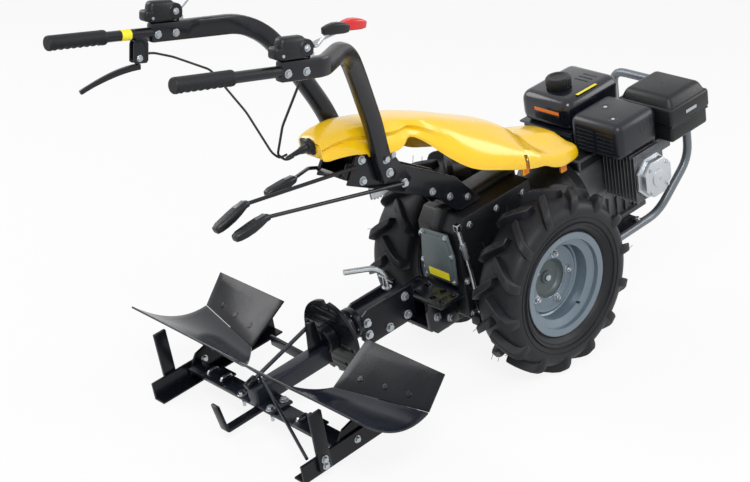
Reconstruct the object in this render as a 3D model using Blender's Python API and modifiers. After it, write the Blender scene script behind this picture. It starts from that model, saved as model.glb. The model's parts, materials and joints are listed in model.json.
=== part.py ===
"""Two-wheel walking tractor, parked on its wheels and on the two-way plough it carries.

Metres, +Z up, +X towards the engine, +Y to the operator's left.  The tractor and the plough
are modelled level, in a frame whose origin is the middle of the wheel axle; that frame is
then tipped back about the axle until the plough's landsides stand on the floor.
"""

import math

import bmesh
import bpy
from mathutils import Matrix, Vector

GAP = 0.0003                 # left between pieces that touch
SEAT = 0.0006                # left where a faceted round piece sits in or on another

# wheels
TYRE_RADIUS = 0.250
TYRE_WIDTH = 0.135
TYRE_WALL = 0.010
BEAD_RADIUS = 0.1275
RIM_WIDTH = 0.100
RIM_FLANGE = 0.015
RIM_SHEET = 0.004
DISC_OFFSET = 0.012          # rim disc, inboard of the wheel's middle
DISC_HOLE = 0.048
TRACK = 0.400
HUB_FLANGE_RADIUS = 0.078
HUB_FLANGE = 0.010
WHEEL_SEGMENTS = 40

# tractor body
PARKED_PITCH = math.radians(12.0)
GEARBOX_LENGTH = 0.300
GEARBOX_WIDTH = 0.150
GEARBOX_REAR = -0.205
GEARBOX_BOTTOM = -0.100
GEARBOX_TOP = 0.240
COVER_THICK = 0.012
JAW_LENGTH = 0.100
AXLE_HOUSING_RADIUS = 0.045
CRANK_HEIGHT = 0.070
BELL_RADIUS = 0.130
ENGINE_REAR = 0.255
ENGINE_LENGTH = 0.275
ENGINE_BASE = -0.045
HOOD_WALL = 0.004
COLUMN_HALF = 0.052
HOOD_ROWS = (                # x, ridge height, shoulder half-width, lip height, lip half-width
    (0.245, 0.312, 0.085, 0.262, 0.128),
    (0.120, 0.352, 0.085, 0.292, 0.138),
    (0.000, 0.405, 0.080, 0.325, 0.138),
    (-0.080, 0.455, 0.070, 0.362, 0.130),
    (-0.170, 0.512, 0.062, 0.405, 0.112),
    (-0.240, 0.542, 0.056, 0.460, 0.082),
    (-0.340, 0.578, 0.048, 0.512, 0.052),
    (-0.470, 0.612, 0.046, 0.546, 0.052),
    (-0.545, 0.600, 0.040, 0.548, 0.046),
)
SNOUT_X = -0.545
CABLE_BLOCK = (0.060, 0.050, 0.040)
CABLE_BLOCK_Z = 0.584
PLATE_THICK = 0.006

# handlebars
ARM_WIDTH = 0.026
ARM_DEPTH = 0.046
GRIP_Y = 0.235
GRIP_RADIUS = 0.0175
GRIP_LENGTH = 0.150
GRIP_SLOPE = math.radians(16.0)
GRIP_FRONT = (-0.874, 0.942)    # x, z of the grip's front end
TUBE_RADIUS = 0.0125
POD_LENGTH = 0.105
POD_HEIGHT = 0.050
POD_MIDDLE = 0.152           # ahead of the grip's front end
CLUTCH_BRACKET = 0.092       # ahead of the grip's front end

# plough
PLOUGH_Y = 0.040             # the swivel's middle, left of the tractor's middle
SWIVEL_Z = 0.045
SWIVEL_RADIUS = 0.100
SWIVEL_THICK = 0.010
SWIVEL_X = -0.560
BODY_REACH = 0.300           # landside, out from the swivel's middle
LANDSIDE_REAR = -0.930
LANDSIDE_LENGTH = 0.400
LANDSIDE_HEIGHT = 0.050
LANDSIDE_THICK = 0.008
BEAM_SIZE = 0.040
BEAM_REAR = -0.830
CROSS_X = -0.800
CROSS_WIDTH = 0.050
CROSS_HEIGHT = 0.012
SHARE_INNER = 0.160          # share's ends, out from the swivel's middle
SHARE_OUTER = 0.430
HEEL_FLARE = 0.025           # how much wider the mouldboard's heel is than the share
CREASE_SKEW = 0.060          # how far the crease trails at its inner end
CABLE_RADIUS = 0.003

MODEL = bpy.data.collections.new("walking_tractor")
GUIDES = bpy.data.collections.new("guides")


# ---------------------------------------------------------------- materials and helpers

def paint(name, colour, rough, metal=0.0):
    """A Principled material of one colour."""
    made = bpy.data.materials.new(name)
    made.use_nodes = True
    shader = made.node_tree.nodes["Principled BSDF"]
    shader.inputs["Base Color"].default_value = (*colour, 1.0)
    shader.inputs["Roughness"].default_value = rough
    shader.inputs["Metallic"].default_value = metal
    return made


def materials():
    """Every finish by name: colour (linear), roughness, metallic."""
    table = {
        "yellow_plastic": ((0.91, 0.52, 0.01), 0.25, 0.0),
        "black_paint": ((0.010, 0.011, 0.014), 0.35, 0.0),
        "black_casting": ((0.010, 0.011, 0.014), 0.45, 0.0),
        "tank_shell": ((0.010, 0.011, 0.014), 0.25, 0.0),
        "black_plastic": ((0.012, 0.012, 0.013), 0.45, 0.0),
        "red_plastic": ((0.60, 0.01, 0.01), 0.35, 0.0),
        "tyre_rubber": ((0.010, 0.010, 0.012), 0.75, 0.0),
        "rim_paint": ((0.10, 0.14, 0.18), 0.40, 0.3),
        "zinc": ((0.55, 0.57, 0.60), 0.30, 1.0),
        "casting": ((0.20, 0.21, 0.22), 0.55, 0.6),
        "aluminium": ((0.50, 0.51, 0.52), 0.40, 1.0),
        "guard_paint": ((0.23, 0.25, 0.27), 0.45, 0.3),
        "plough_paint": ((0.010, 0.011, 0.015), 0.35, 0.0),
        "plough_steel": ((0.10, 0.13, 0.18), 0.35, 0.5),
    }
    return {name: paint(name, *values) for name, values in table.items()}


def to_mesh(obj):
    """Turn a curve object into a mesh object with welded caps."""
    bpy.context.view_layer.update()
    graph = bpy.context.evaluated_depsgraph_get()
    mesh = bpy.data.meshes.new_from_object(obj.evaluated_get(graph))
    work = bmesh.new()
    work.from_mesh(mesh)
    bmesh.ops.remove_doubles(work, verts=work.verts, dist=0.00002)
    bmesh.ops.recalc_face_normals(work, faces=work.faces)
    work.to_mesh(mesh)
    work.free()
    name, matrix, parent = obj.name, obj.matrix_basis.copy(), obj.parent
    bpy.data.objects.remove(obj)
    made = bpy.data.objects.new(name, mesh)
    made.parent = parent
    made.matrix_basis = matrix
    return made


class Shop:
    """Makes the pieces: holds the frame that they hang on and the finishes."""

    def __init__(self, frame, finishes):
        self.frame = frame
        self.finishes = finishes

    def keep(self, obj, finish):
        """Put a finished object in the model, on its frame."""
        obj.data.materials.clear()
        obj.data.materials.append(self.finishes[finish])
        obj.parent = self.frame
        MODEL.objects.link(obj)
        return obj

    def box(self, name, finish, size, centre, bevel=0.0, turn=(0.0, 0.0, 0.0)):
        """A box, its edges bevelled."""
        mesh = bpy.data.meshes.new(name)
        work = bmesh.new()
        bmesh.ops.create_cube(work, size=1.0)
        bmesh.ops.scale(work, vec=size, verts=work.verts)
        work.to_mesh(mesh)
        work.free()
        obj = bpy.data.objects.new(name, mesh)
        obj.location = centre
        obj.rotation_euler = turn
        if bevel:
            edge = obj.modifiers.new("edges", "BEVEL")
            edge.width = bevel
            edge.segments = 2
            edge.limit_method = "ANGLE"
        return self.keep(obj, finish)

    def plate(self, name, finish, outline, thick, centre, plane="XZ", holes=(), bevel=0.0):
        """A flat outline, extruded by its thickness: (u, v) points in XZ, XY or YZ."""
        curve = bpy.data.curves.new(name, "CURVE")
        curve.dimensions = "2D"
        curve.fill_mode = "BOTH"
        curve.extrude = thick / 2
        for loop in (outline, *[ring(*hole) for hole in holes]):
            spline = curve.splines.new("POLY")
            spline.points.add(len(loop) - 1)
            for point, (u, v) in zip(spline.points, loop):
                point.co = (u, v, 0.0, 1.0)
            spline.use_cyclic_u = True
        guide = bpy.data.objects.new(name, curve)
        GUIDES.objects.link(guide)
        turns = {
            "XZ": Matrix(((1, 0, 0), (0, 0, 1), (0, 1, 0))),
            "XY": Matrix(((1, 0, 0), (0, 1, 0), (0, 0, 1))),
            "YZ": Matrix(((0, 0, 1), (1, 0, 0), (0, 1, 0))),
        }
        obj = to_mesh(guide)
        obj.data.transform(turns[plane].to_4x4())
        work = bmesh.new()
        work.from_mesh(obj.data)
        bmesh.ops.recalc_face_normals(work, faces=work.faces)
        work.to_mesh(obj.data)
        work.free()
        obj.location = centre
        if bevel:
            edge = obj.modifiers.new("edges", "BEVEL")
            edge.width = bevel
            edge.segments = 1
            edge.limit_method = "ANGLE"
        return self.keep(obj, finish)

    def turned(self, name, finish, profile, centre, axis, segments=WHEEL_SEGMENTS):
        """A closed (radius, along) profile turned about an axis: X, Y or Z."""
        mesh = bpy.data.meshes.new(name)
        work = bmesh.new()
        corners = [work.verts.new((radius, 0.0, along)) for radius, along in profile]
        on_axis = profile[0][0] == 0.0
        pairs = list(zip(corners, corners[1:]))
        if not on_axis:
            pairs.append((corners[-1], corners[0]))
        for first, second in pairs:
            work.edges.new((first, second))
        work.to_mesh(mesh)
        work.free()
        obj = bpy.data.objects.new(name, mesh)
        screw = obj.modifiers.new("turn", "SCREW")
        screw.axis = "Z"
        screw.steps = segments
        screw.render_steps = segments
        screw.use_merge_vertices = True
        screw.merge_threshold = 0.00005
        screw.use_normal_calculate = False
        turns = {"X": (0.0, math.pi / 2, 0.0), "Y": (-math.pi / 2, 0.0, 0.0), "Z": (0.0, 0.0, 0.0)}
        obj.rotation_euler = turns[axis]
        obj.location = centre
        return self.keep(obj, finish)

    def tube(self, name, finish, points, radius, smooth=False, resolution=2):
        """A round bar along points; smooth turns its corners into curves."""
        curve = bpy.data.curves.new(name, "CURVE")
        curve.dimensions = "3D"
        curve.bevel_depth = radius
        curve.bevel_resolution = resolution
        curve.use_fill_caps = True
        path = rounded(points, radius) if smooth else points
        spline = curve.splines.new("POLY")
        spline.points.add(len(path) - 1)
        for point, place in zip(spline.points, path):
            point.co = (*place, 1.0)
        return self.keep(bpy.data.objects.new(name, curve), finish)

    def bar(self, name, finish, points, width, depth):
        """A rectangular bar along points, mitred, its width kept square to the side."""
        places = [Vector(point) for point in points]
        mesh = bpy.data.meshes.new(name)
        work = bmesh.new()
        rings = []
        for index, place in enumerate(places):
            runs = [(b - a).normalized() for a, b in zip(places, places[1:])]
            before, after = runs[max(index - 1, 0)], runs[min(index, len(runs) - 1)]
            tangent = (before + after).normalized()
            across = (Vector((0.0, 1.0, 0.0)) - tangent * tangent.y).normalized()
            down = tangent.cross(across) / max(tangent.dot(after), 0.5)
            rings.append([work.verts.new(place + across * u + down * v)
                          for u, v in rectangle(width, depth)])
        for ring_a, ring_b in zip(rings, rings[1:]):
            for k in range(4):
                work.faces.new((ring_a[k], ring_a[(k + 1) % 4], ring_b[(k + 1) % 4], ring_b[k]))
        work.faces.new(rings[0])
        work.faces.new(rings[-1])
        bmesh.ops.recalc_face_normals(work, faces=work.faces)
        work.to_mesh(mesh)
        work.free()
        return self.keep(bpy.data.objects.new(name, mesh), finish)

    def shell(self, name, finish, sections, wall, offset=-1.0):
        """An open sheet lofted through equal rows of points, thickened by Solidify."""
        mesh = bpy.data.meshes.new(name)
        work = bmesh.new()
        rows = [[work.verts.new(point) for point in section] for section in sections]
        for row, after in zip(rows, rows[1:]):
            for column in range(len(row) - 1):
                work.faces.new((row[column], row[column + 1], after[column + 1], after[column]))
        work.to_mesh(mesh)
        work.free()
        obj = bpy.data.objects.new(name, mesh)
        thick = obj.modifiers.new("wall", "SOLIDIFY")
        thick.thickness = wall
        thick.offset = offset
        thick.use_even_offset = True
        return self.keep(obj, finish)

    def open_box(self, name, finish, x, y, z, wall, bevel):
        """A sheet box between two corners, open below."""
        spare = 2 * bevel
        size = (x[1] - x[0], y[1] - y[0], z[1] - z[0] + spare)
        centre = ((x[0] + x[1]) / 2, (y[0] + y[1]) / 2, (z[0] - spare + z[1]) / 2)
        obj = self.box(name, finish, size, centre, bevel=bevel)
        inside = (size[0] - 2 * wall, size[1] - 2 * wall, size[2])
        self.cut(obj, name + "_inside", inside, (centre[0], centre[1], centre[2] - wall))
        below = (size[0] + spare, size[1] + spare, 2 * spare)
        self.cut(obj, name + "_below", below, (centre[0], centre[1], z[0] - spare))
        return obj

    def cut(self, obj, name, size, centre, turn=(0.0, 0.0, 0.0)):
        """Cut a box out of an object."""
        mesh = bpy.data.meshes.new(name)
        work = bmesh.new()
        bmesh.ops.create_cube(work, size=1.0)
        bmesh.ops.scale(work, vec=size, verts=work.verts)
        work.to_mesh(mesh)
        work.free()
        cutter = bpy.data.objects.new(name, mesh)
        cutter.location = centre
        cutter.rotation_euler = turn
        self.use_cutter(obj, cutter, "DIFFERENCE")

    def weld(self, obj, *others):
        """Join overlapping pieces of one finish into the first of them."""
        obj = self.as_mesh(obj)
        for other in others:
            other = self.as_mesh(other)
            MODEL.objects.unlink(other)
            self.use_cutter(obj, other, "UNION")
        return obj

    def as_mesh(self, obj):
        """A curve object of the model made a mesh object, finish kept."""
        if obj.type != "CURVE":
            return obj
        material = obj.data.materials[0]
        made = to_mesh(obj)
        made.data.materials.clear()
        made.data.materials.append(material)
        MODEL.objects.link(made)
        return made

    def use_cutter(self, obj, cutter, operation):
        """Give an object a Boolean with a hidden cutter on the same frame."""
        cutter.parent = self.frame
        cutter.hide_render = True
        cutter.display_type = "WIRE"
        GUIDES.objects.link(cutter)
        step = obj.modifiers.new(cutter.name, "BOOLEAN")
        step.operation = operation
        step.object = cutter
        step.solver = "EXACT"


def ring(u, v, radius, sides=16):
    """Points round a circle."""
    angles = [2 * math.pi * step / sides for step in range(sides)]
    return [(u + radius * math.cos(a), v + radius * math.sin(a)) for a in angles]


def rectangle(width, depth):
    """Corners of a rectangle about its middle."""
    return [(-width / 2, -depth / 2), (width / 2, -depth / 2), (width / 2, depth / 2),
            (-width / 2, depth / 2)]


def rounded(points, radius, bends=4):
    """A route with each inner corner turned into a short arc of about three radii."""
    places = [Vector(point) for point in points]
    path = [places[0]]
    for before, corner, after in zip(places, places[1:], places[2:]):
        reach = min(3.5 * radius, (corner - before).length / 2.2, (after - corner).length / 2.2)
        start = corner + (before - corner).normalized() * reach
        end = corner + (after - corner).normalized() * reach
        for step in range(bends + 1):
            share = step / bends
            path.append(start.lerp(corner, share).lerp(corner.lerp(end, share), share))
    path.append(places[-1])
    return path


def mirrored(points, side):
    """The same points on the side given: 1 is the left as written, -1 the right."""
    return [(x, side * y, z) for x, y, z in points]


SIDES = (("left", 1), ("right", -1))


# ---------------------------------------------------------------- wheels

def wheel_y(side):
    """The wheel's middle plane."""
    return side * TRACK / 2


def tyre_profile():
    """The carcass as an open-sided ring: outer skin down, inner skin back up."""
    half = TYRE_WIDTH / 2
    bead = RIM_WIDTH / 2 - RIM_SHEET - SEAT
    flange = BEAD_RADIUS + RIM_FLANGE
    outer = [(BEAD_RADIUS, bead), (flange + 0.002, bead), (flange + 0.010, half - 0.011),
             (0.175, half - 0.003), (0.205, half),
             (0.230, half - 0.004), (TYRE_RADIUS - 0.004, half - 0.014), (TYRE_RADIUS, half - 0.026)]
    inner = [(radius - TYRE_WALL * (radius > 0.22), along - TYRE_WALL * (along > 0.03))
             for radius, along in outer]
    inner[-1] = (TYRE_RADIUS - TYRE_WALL, 0.030)
    down = outer + [(radius, -along) for radius, along in reversed(outer)]
    back = [(radius, -along) for radius, along in inner] + list(reversed(inner))
    return down + back


def rim_profile(side):
    """The rim as one sheet: two flanges, seats, a well, and a disc with a hole."""
    seat = BEAD_RADIUS - SEAT
    half = RIM_WIDTH / 2
    flange = BEAD_RADIUS + RIM_FLANGE
    well = seat - 0.020
    sheet = RIM_SHEET
    disc = -DISC_OFFSET
    points = [
        (flange, half), (flange, half - sheet), (seat, half - sheet), (seat, 0.032), (well, 0.024),
        (well, -0.024), (seat, -0.032), (seat, sheet - half), (flange, sheet - half),
        (flange, -half), (seat - sheet, -half), (seat - sheet, -0.034), (well - sheet, -0.026),
        (well - sheet, disc - sheet / 2), (DISC_HOLE, disc - sheet / 2),
        (DISC_HOLE, disc + sheet / 2), (well - sheet, disc + sheet / 2), (well - sheet, 0.026),
        (seat - sheet, 0.034), (seat - sheet, half),
    ]
    if side < 0:
        points = [(radius, -along) for radius, along in reversed(points)]
    return points


def hub_profile(side, housing_end):
    """Drive flange behind the rim disc, with a nose in its hole and a barrel to the housing."""
    middle = TRACK / 2
    face = middle - DISC_OFFSET - RIM_SHEET / 2 - GAP
    nose = 0.034
    barrel = 0.036
    points = [
        (0.0, middle + 0.004), (nose - 0.004, middle + 0.004), (nose, middle), (nose, face),
        (HUB_FLANGE_RADIUS, face), (HUB_FLANGE_RADIUS, face - HUB_FLANGE),
        (barrel, face - HUB_FLANGE), (barrel, housing_end + SEAT), (0.0, housing_end + SEAT),
    ]
    if side < 0:
        points = [(radius, -along) for radius, along in reversed(points)]
    return points


def make_wheels(shop):
    """Tyre, rim and drive hub on each side."""
    housing_end = 0.150
    for label, side in SIDES:
        place = (0.0, wheel_y(side), 0.0)
        shop.turned(f"tyre_{label}", "tyre_rubber", tyre_profile(), place, "Y")
        shop.turned(f"rim_{label}", "rim_paint", rim_profile(side), place, "Y")
        shop.turned(f"hub_{label}", "zinc", hub_profile(side, housing_end), (0.0, 0.0, 0.0), "Y", 32)
        radius = AXLE_HOUSING_RADIUS
        inner = GEARBOX_WIDTH / 2 + GAP
        points = [(0.0, housing_end), (radius - 0.006, housing_end), (radius - 0.006, inner + 0.016),
                  (radius + 0.017, inner + 0.016), (radius + 0.017, inner), (0.0, inner)]
        if side < 0:
            points = [(r, -along) for r, along in reversed(points)]
        shop.turned(f"axle_housing_{label}", "casting", points, (0.0, 0.0, 0.0), "Y", 32)


# ---------------------------------------------------------------- gearbox and hitch

def make_driveline(shop):
    """Gearbox, its rear cover, the clutch bell and the hitch."""
    front = GEARBOX_REAR + GEARBOX_LENGTH
    low, top = GEARBOX_BOTTOM, GEARBOX_TOP
    rear = GEARBOX_REAR
    half = GEARBOX_WIDTH / 2
    outline = [(rear, low + 0.03), (rear + 0.04, low), (front - 0.04, low), (front, low + 0.04),
               (front, top), (rear + 0.03, top), (rear, top - 0.04)]
    case = shop.plate("gearbox_case", "casting", outline, GEARBOX_WIDTH, (0.0, 0.0, 0.0),
                      bevel=0.004)
    boss = shop.box("link_boss", "casting", (0.034, 0.036, 0.030), (-0.170, -half - 0.010, -0.068))
    shop.weld(case, boss)
    cover = [(-0.062, 0.045), (0.048, 0.045), (0.058, 0.09), (0.045, 0.185), (-0.050, 0.190),
             (-0.066, 0.13)]
    shop.plate("gearbox_cover", "casting", cover, COVER_THICK,
               (rear - GAP - COVER_THICK / 2, 0.0, 0.0), plane="YZ", bevel=0.002)
    bell_end = ENGINE_REAR - GAP
    bell = [(0.0, bell_end), (BELL_RADIUS, bell_end), (BELL_RADIUS, bell_end - 0.035),
            (BELL_RADIUS - 0.018, bell_end - 0.050), (0.088, front + 0.030), (0.088, front + GAP),
            (0.0, front + GAP)]
    shop.turned("clutch_bell", "black_casting", bell, (0.0, 0.0, CRANK_HEIGHT), "X", 32)
    # hitch jaw under the cover, a drilled plate on it, and the link at the right
    jaw = shop.box("hitch_jaw", "black_paint", (JAW_LENGTH, 0.110, 0.100),
                   (rear - GAP - JAW_LENGTH / 2, 0.010, -0.020))
    edge = rear - 0.014
    plate = shop.plate("hitch_plate", "black_paint", [(-0.085, -0.085), (0.0, -0.085),
                       (0.0, 0.085), (-0.085, 0.085)], 0.008, (edge, -0.010, 0.032), plane="XY",
                       holes=((-0.040, -0.070, 0.009), (-0.040, 0.072, 0.009)))
    shop.weld(jaw, plate)
    shop.tube("link_rod", "zinc", [(-0.205, -half - 0.014, 0.225), (-0.178, -half - 0.014, 0.060),
              (-0.170, -half - 0.014, -0.0518)], 0.0075)


# ---------------------------------------------------------------- engine

def make_engine(shop):
    """One plain block and the covers round it."""
    width, height = 0.200, 0.240
    block_y = 0.005
    right = block_y - width / 2
    length = ENGINE_LENGTH
    rear = ENGINE_REAR
    front = rear + length
    top = ENGINE_BASE + height
    shop.box("engine_block", "aluminium", (length, width, height),
             (rear + length / 2, block_y, ENGINE_BASE + height / 2), bevel=0.006)
    starter = [(0.0, front + 0.078), (0.062, front + 0.078), (0.070, front + 0.070),
               (0.100, front + 0.060), (0.112, front + 0.045), (0.112, front + GAP),
               (0.0, front + GAP)]
    shop.turned("recoil_starter", "black_plastic", starter, (0.0, block_y, CRANK_HEIGHT), "X", 32)

    head_top = 0.2045
    head_low = 0.062
    head_out = 0.115
    head_x = (0.345, 0.465)
    shop.box("cylinder_head", "aluminium", (head_x[1] - head_x[0], head_out, head_top - head_low),
             ((head_x[0] + head_x[1]) / 2, right - GAP - head_out / 2, (head_top + head_low) / 2),
             bevel=0.003)
    cover_y = right - 2 * GAP - head_out
    octagon = [(u, v) for u, v in ring(0.0, 0.0, 0.064, 8)]
    octagon = [(u * math.cos(math.pi / 8) - v * math.sin(math.pi / 8),
                u * math.sin(math.pi / 8) + v * math.cos(math.pi / 8)) for u, v in octagon]
    shop.plate("valve_cover", "aluminium", octagon, 0.036, (0.405, cover_y - 0.018, 0.128),
               bevel=0.006)

    # fuel tank over the block, left, with its cap
    tank_low = top + GAP
    tank_top = 0.335
    tank_x, tank_y = (0.310, 0.540), (-0.022, 0.170)
    shop.box("fuel_tank", "tank_shell",
             (tank_x[1] - tank_x[0], tank_y[1] - tank_y[0], tank_top - tank_low),
             ((tank_x[0] + tank_x[1]) / 2, (tank_y[0] + tank_y[1]) / 2, (tank_top + tank_low) / 2),
             bevel=0.014)
    cap = [(0.0, 0.030), (0.034, 0.030), (0.036, 0.026), (0.036, 0.0), (0.0, 0.0)]
    shop.turned("fuel_cap", "black_plastic", cap, (0.390, 0.080, tank_top + GAP), "Z", 24)

    # muffler under its sheet shield, right
    shield_x, shield_y, shield_z = (0.298, 0.462), (-0.205, -0.030), (head_top + GAP, 0.311)
    shop.open_box("muffler_shield", "black_paint", shield_x, shield_y, shield_z, 0.003, 0.010)

    # carburettor beside the block, the air cleaner on it
    shop.box("carburettor", "aluminium", (0.055, 0.090, 0.100),
             (0.500, right - GAP - 0.045, 0.146), bevel=0.004)
    shop.box("air_cleaner", "black_plastic", (0.165, 0.185, 0.130),
             (0.5525, -0.150, 0.1963 + 0.065), bevel=0.014)


def make_guard(shop):
    """The bent tube in front of the engine and the bracket that carries it."""
    half = 0.128
    base = ENGINE_BASE - GAP
    shop.plate("guard_bracket", "black_paint", [(0.0, -0.145), (0.110, -0.145), (0.110, 0.145),
               (0.0, 0.145)], 0.008, (0.330, 0.005, base - 0.004), plane="XY", bevel=0.001)
    tube = 0.0125
    low = base - 0.008 - GAP - tube
    front, top = 0.668, 0.262
    route = [(0.340, -half, low), (0.520, -half, low), (front, -half, low + 0.110),
             (front, -half, top), (front, half, top), (front, half, low + 0.110),
             (0.520, half, low), (0.340, half, low)]
    shop.tube("engine_guard", "guard_paint", route, tube, smooth=True, resolution=3)


# ---------------------------------------------------------------- hood and column

def hood_section(x, top, shoulder, low, half):
    """One row across the hood, right lip to left lip."""
    drop = top - low
    right = [(-half, 0.0), (-half, 0.45), (-shoulder - 0.25 * (half - shoulder), 0.80),
             (-shoulder, 0.93), (-shoulder * 0.5, 0.985)]
    row = [(x, y, low + share * drop) for y, share in right]
    return row + [(x, 0.0, top)] + [(px, -py, pz) for px, py, pz in reversed(row)]


def hood_underside(x):
    """Height of the hood's inner face under its ridge."""
    for ahead, behind in zip(HOOD_ROWS, HOOD_ROWS[1:]):
        if behind[0] <= x <= ahead[0]:
            share = (ahead[0] - x) / (ahead[0] - behind[0])
            slope = (behind[1] - ahead[1]) / (ahead[0] - behind[0])
            return ahead[1] + share * (behind[1] - ahead[1]) - HOOD_WALL * math.hypot(1.0, slope)
    return HOOD_ROWS[-1][1]


def make_hood(shop):
    """The plastic hood from the snout to the engine."""
    shop.shell("hood", "yellow_plastic", [hood_section(*row) for row in HOOD_ROWS], HOOD_WALL)
    shop.box("cable_block", "black_plastic", CABLE_BLOCK,
             (SNOUT_X - GAP - CABLE_BLOCK[0] / 2, 0.0, CABLE_BLOCK_Z), bevel=0.006)


def make_column(shop):
    """The handlebar column: a post on the gearbox and two bracket plates."""
    top = GEARBOX_TOP + GAP
    post = [(-0.165, top), (-0.075, top), (-0.150, 0.335), (-0.330, 0.455), (-0.480, 0.520),
            (-0.505, 0.485), (-0.345, 0.375), (-0.215, 0.300)]
    half = COLUMN_HALF
    column = shop.plate("handlebar_column", "black_casting", post, 2 * half, (0.0, 0.0, 0.0))
    lap = 0.001
    thick = PLATE_THICK + lap
    cheek = [(-0.500, 0.470), (-0.330, 0.375), (-0.300, 0.400), (-0.355, 0.510), (-0.460, 0.530)]
    cheeks = [shop.plate(f"column_plate_{label}", "black_casting", cheek, thick,
                         (0.0, side * (half - lap + thick / 2), 0.0)) for label, side in SIDES]
    # a stay between the cheeks that the hood's ridge rests on
    ahead, behind = -0.400, -0.425
    seat = SEAT + 0.0002
    stay = [(ahead, 0.470), (ahead, hood_underside(ahead) - seat),
            (behind, hood_underside(behind) - seat), (behind, 0.470)]
    stay = shop.plate("hood_stay", "black_casting", stay, 0.006, (0.0, 0.0, 0.0))
    shop.weld(column, *cheeks, stay)


def along_grip(distance, lift=0.0, y=GRIP_Y):
    """A point ahead of the grip's front end on the tube's line, lifted square to it."""
    run, rise = math.cos(GRIP_SLOPE), math.sin(GRIP_SLOPE)
    return (GRIP_FRONT[0] + distance * run + lift * rise, y,
            GRIP_FRONT[1] - distance * rise + lift * run)


def make_handlebars(shop):
    """Arms, tubes, grips, control pods and their levers."""
    base = COLUMN_HALF + PLATE_THICK + GAP + ARM_WIDTH / 2
    route = [(-0.385, base, 0.440), (-0.395, base, 0.500), (-0.418, 0.090, 0.610),
             (-0.468, 0.125, 0.752), (-0.500, 0.150, 0.822), (-0.545, 0.180, 0.862),
             along_grip(0.245), along_grip(0.205), along_grip(0.065)]
    lean = (0.0, GRIP_SLOPE, 0.0)
    for label, side in SIDES:
        arm = shop.bar(f"handle_arm_{label}", "black_paint", mirrored(route, side), ARM_WIDTH,
                       ARM_DEPTH)
        tube = [along_grip(0.075), along_grip(SEAT)]
        shop.weld(arm, shop.tube(f"handle_tube_{label}", "black_paint", mirrored(tube, side),
                                 TUBE_RADIUS, resolution=3))
        grip = [along_grip(0.0), along_grip(-GRIP_LENGTH)]
        shop.tube(f"grip_{label}", "black_plastic", mirrored(grip, side), GRIP_RADIUS, resolution=3)
        lift = ARM_DEPTH / 2 + GAP + POD_HEIGHT / 2
        shop.box(f"control_pod_{label}", "black_plastic", (POD_LENGTH, 0.034, POD_HEIGHT),
                 along_grip(POD_MIDDLE, lift, side * GRIP_Y), bevel=0.008, turn=lean)
        make_lever(shop, f"throttle_lever_{label}", "black_plastic", 0.065, 0.015,
                   side * (GRIP_Y + 0.011), lift)
    make_lever(shop, "stop_lever", "red_plastic", 0.130, 0.021, 0.010 - GRIP_Y, lift)
    # clutch lever under the left grip, on its bracket
    bracket_x = CLUTCH_BRACKET
    bracket_height = 0.044
    bracket_low = -ARM_DEPTH / 2 - GAP - bracket_height
    shop.box("clutch_bracket", "black_paint", (0.040, 0.020, bracket_height),
             along_grip(bracket_x, bracket_low + bracket_height / 2), bevel=0.002, turn=lean)
    lever = [along_grip(bracket_x, bracket_low - 0.0088), along_grip(0.030, bracket_low - 0.010),
             along_grip(-0.069, -0.122)]
    shop.bar("clutch_lever", "black_paint", lever, 0.012, 0.016)


def make_lever(shop, name, finish, reach, width, y, lift):
    """A lever from a control pod's front: a stem and its knob, reaching ahead."""
    start = POD_MIDDLE + POD_LENGTH / 2 + GAP
    stem = shop.tube(name, finish, [along_grip(start, lift, y), along_grip(start + 0.010, lift, y),
                                    along_grip(start + reach, lift + 0.035, y)], 0.004)
    knob = shop.box(name + "_knob", finish, (0.060, width, 0.020),
                    along_grip(start + reach, lift + 0.035, y), turn=(0.0, GRIP_SLOPE, 0.0))
    shop.weld(stem, knob)


def make_shifters(shop):
    """Three shift rods with their knobs, on the column."""
    half = COLUMN_HALF + PLATE_THICK + GAP
    side = half + 0.0055
    # label, the rod's points from its front end, the knob's rear end
    table = (
        ("upper", ((-0.470, -side, 0.508), (-0.790, -0.045, 0.553)), (-0.880, -0.045, 0.528)),
        ("inner", ((-0.478, side, 0.478), (-0.515, side, 0.493), (-0.620, -0.012, 0.531)),
         (-0.702, -0.012, 0.529)),
        ("lower", ((-0.335, -side, 0.402), (-0.770, -0.088, 0.522)), (-0.862, -0.088, 0.512)),
    )
    for label, rod, end in table:
        lever = shop.tube(f"shift_lever_{label}", "black_paint", rod, 0.005)
        rear = rod[-1]
        start = Vector(rear)
        back = (Vector(rod[-2]) - start).normalized() * 0.012
        knob = shop.bar(f"shift_knob_{label}", "black_plastic", [tuple(start + back), rear, end],
                        0.030, 0.024)
        shop.weld(lever, knob)


def make_cables(shop):
    """Control cables from the handlebars to the block on the hood's snout."""
    bracket_front = CLUTCH_BRACKET + 0.020 + GAP
    clutch_drop = -0.048
    rear = SNOUT_X - 2 * GAP - CABLE_BLOCK[0]
    middle = CABLE_BLOCK_Z
    start_right = along_grip(POD_MIDDLE, 0.045, -GRIP_Y + 0.017 + CABLE_RADIUS)
    routes = (
        ("clutch", [along_grip(bracket_front, clutch_drop),
                    along_grip(bracket_front + 0.020, clutch_drop),
                    along_grip(0.180, -0.060, 0.225),
                    (-0.660, 0.170, 0.790), (-0.640, 0.090, 0.690), (-0.646, 0.012, 0.606),
                    (rear - 0.022, 0.012, middle), (rear, 0.012, middle)]),
        ("throttle", [start_right, along_grip(POD_MIDDLE + 0.040, 0.020, -0.205),
                      (-0.640, -0.150, 0.830), (-0.660, -0.070, 0.700), (-0.648, -0.012, 0.608),
                      (rear - 0.022, -0.012, middle), (rear, -0.012, middle)]),
    )
    for label, route in routes:
        shop.tube(f"cable_{label}", "black_plastic", route, CABLE_RADIUS, smooth=True,
                  resolution=1)


# ---------------------------------------------------------------- plough

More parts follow.
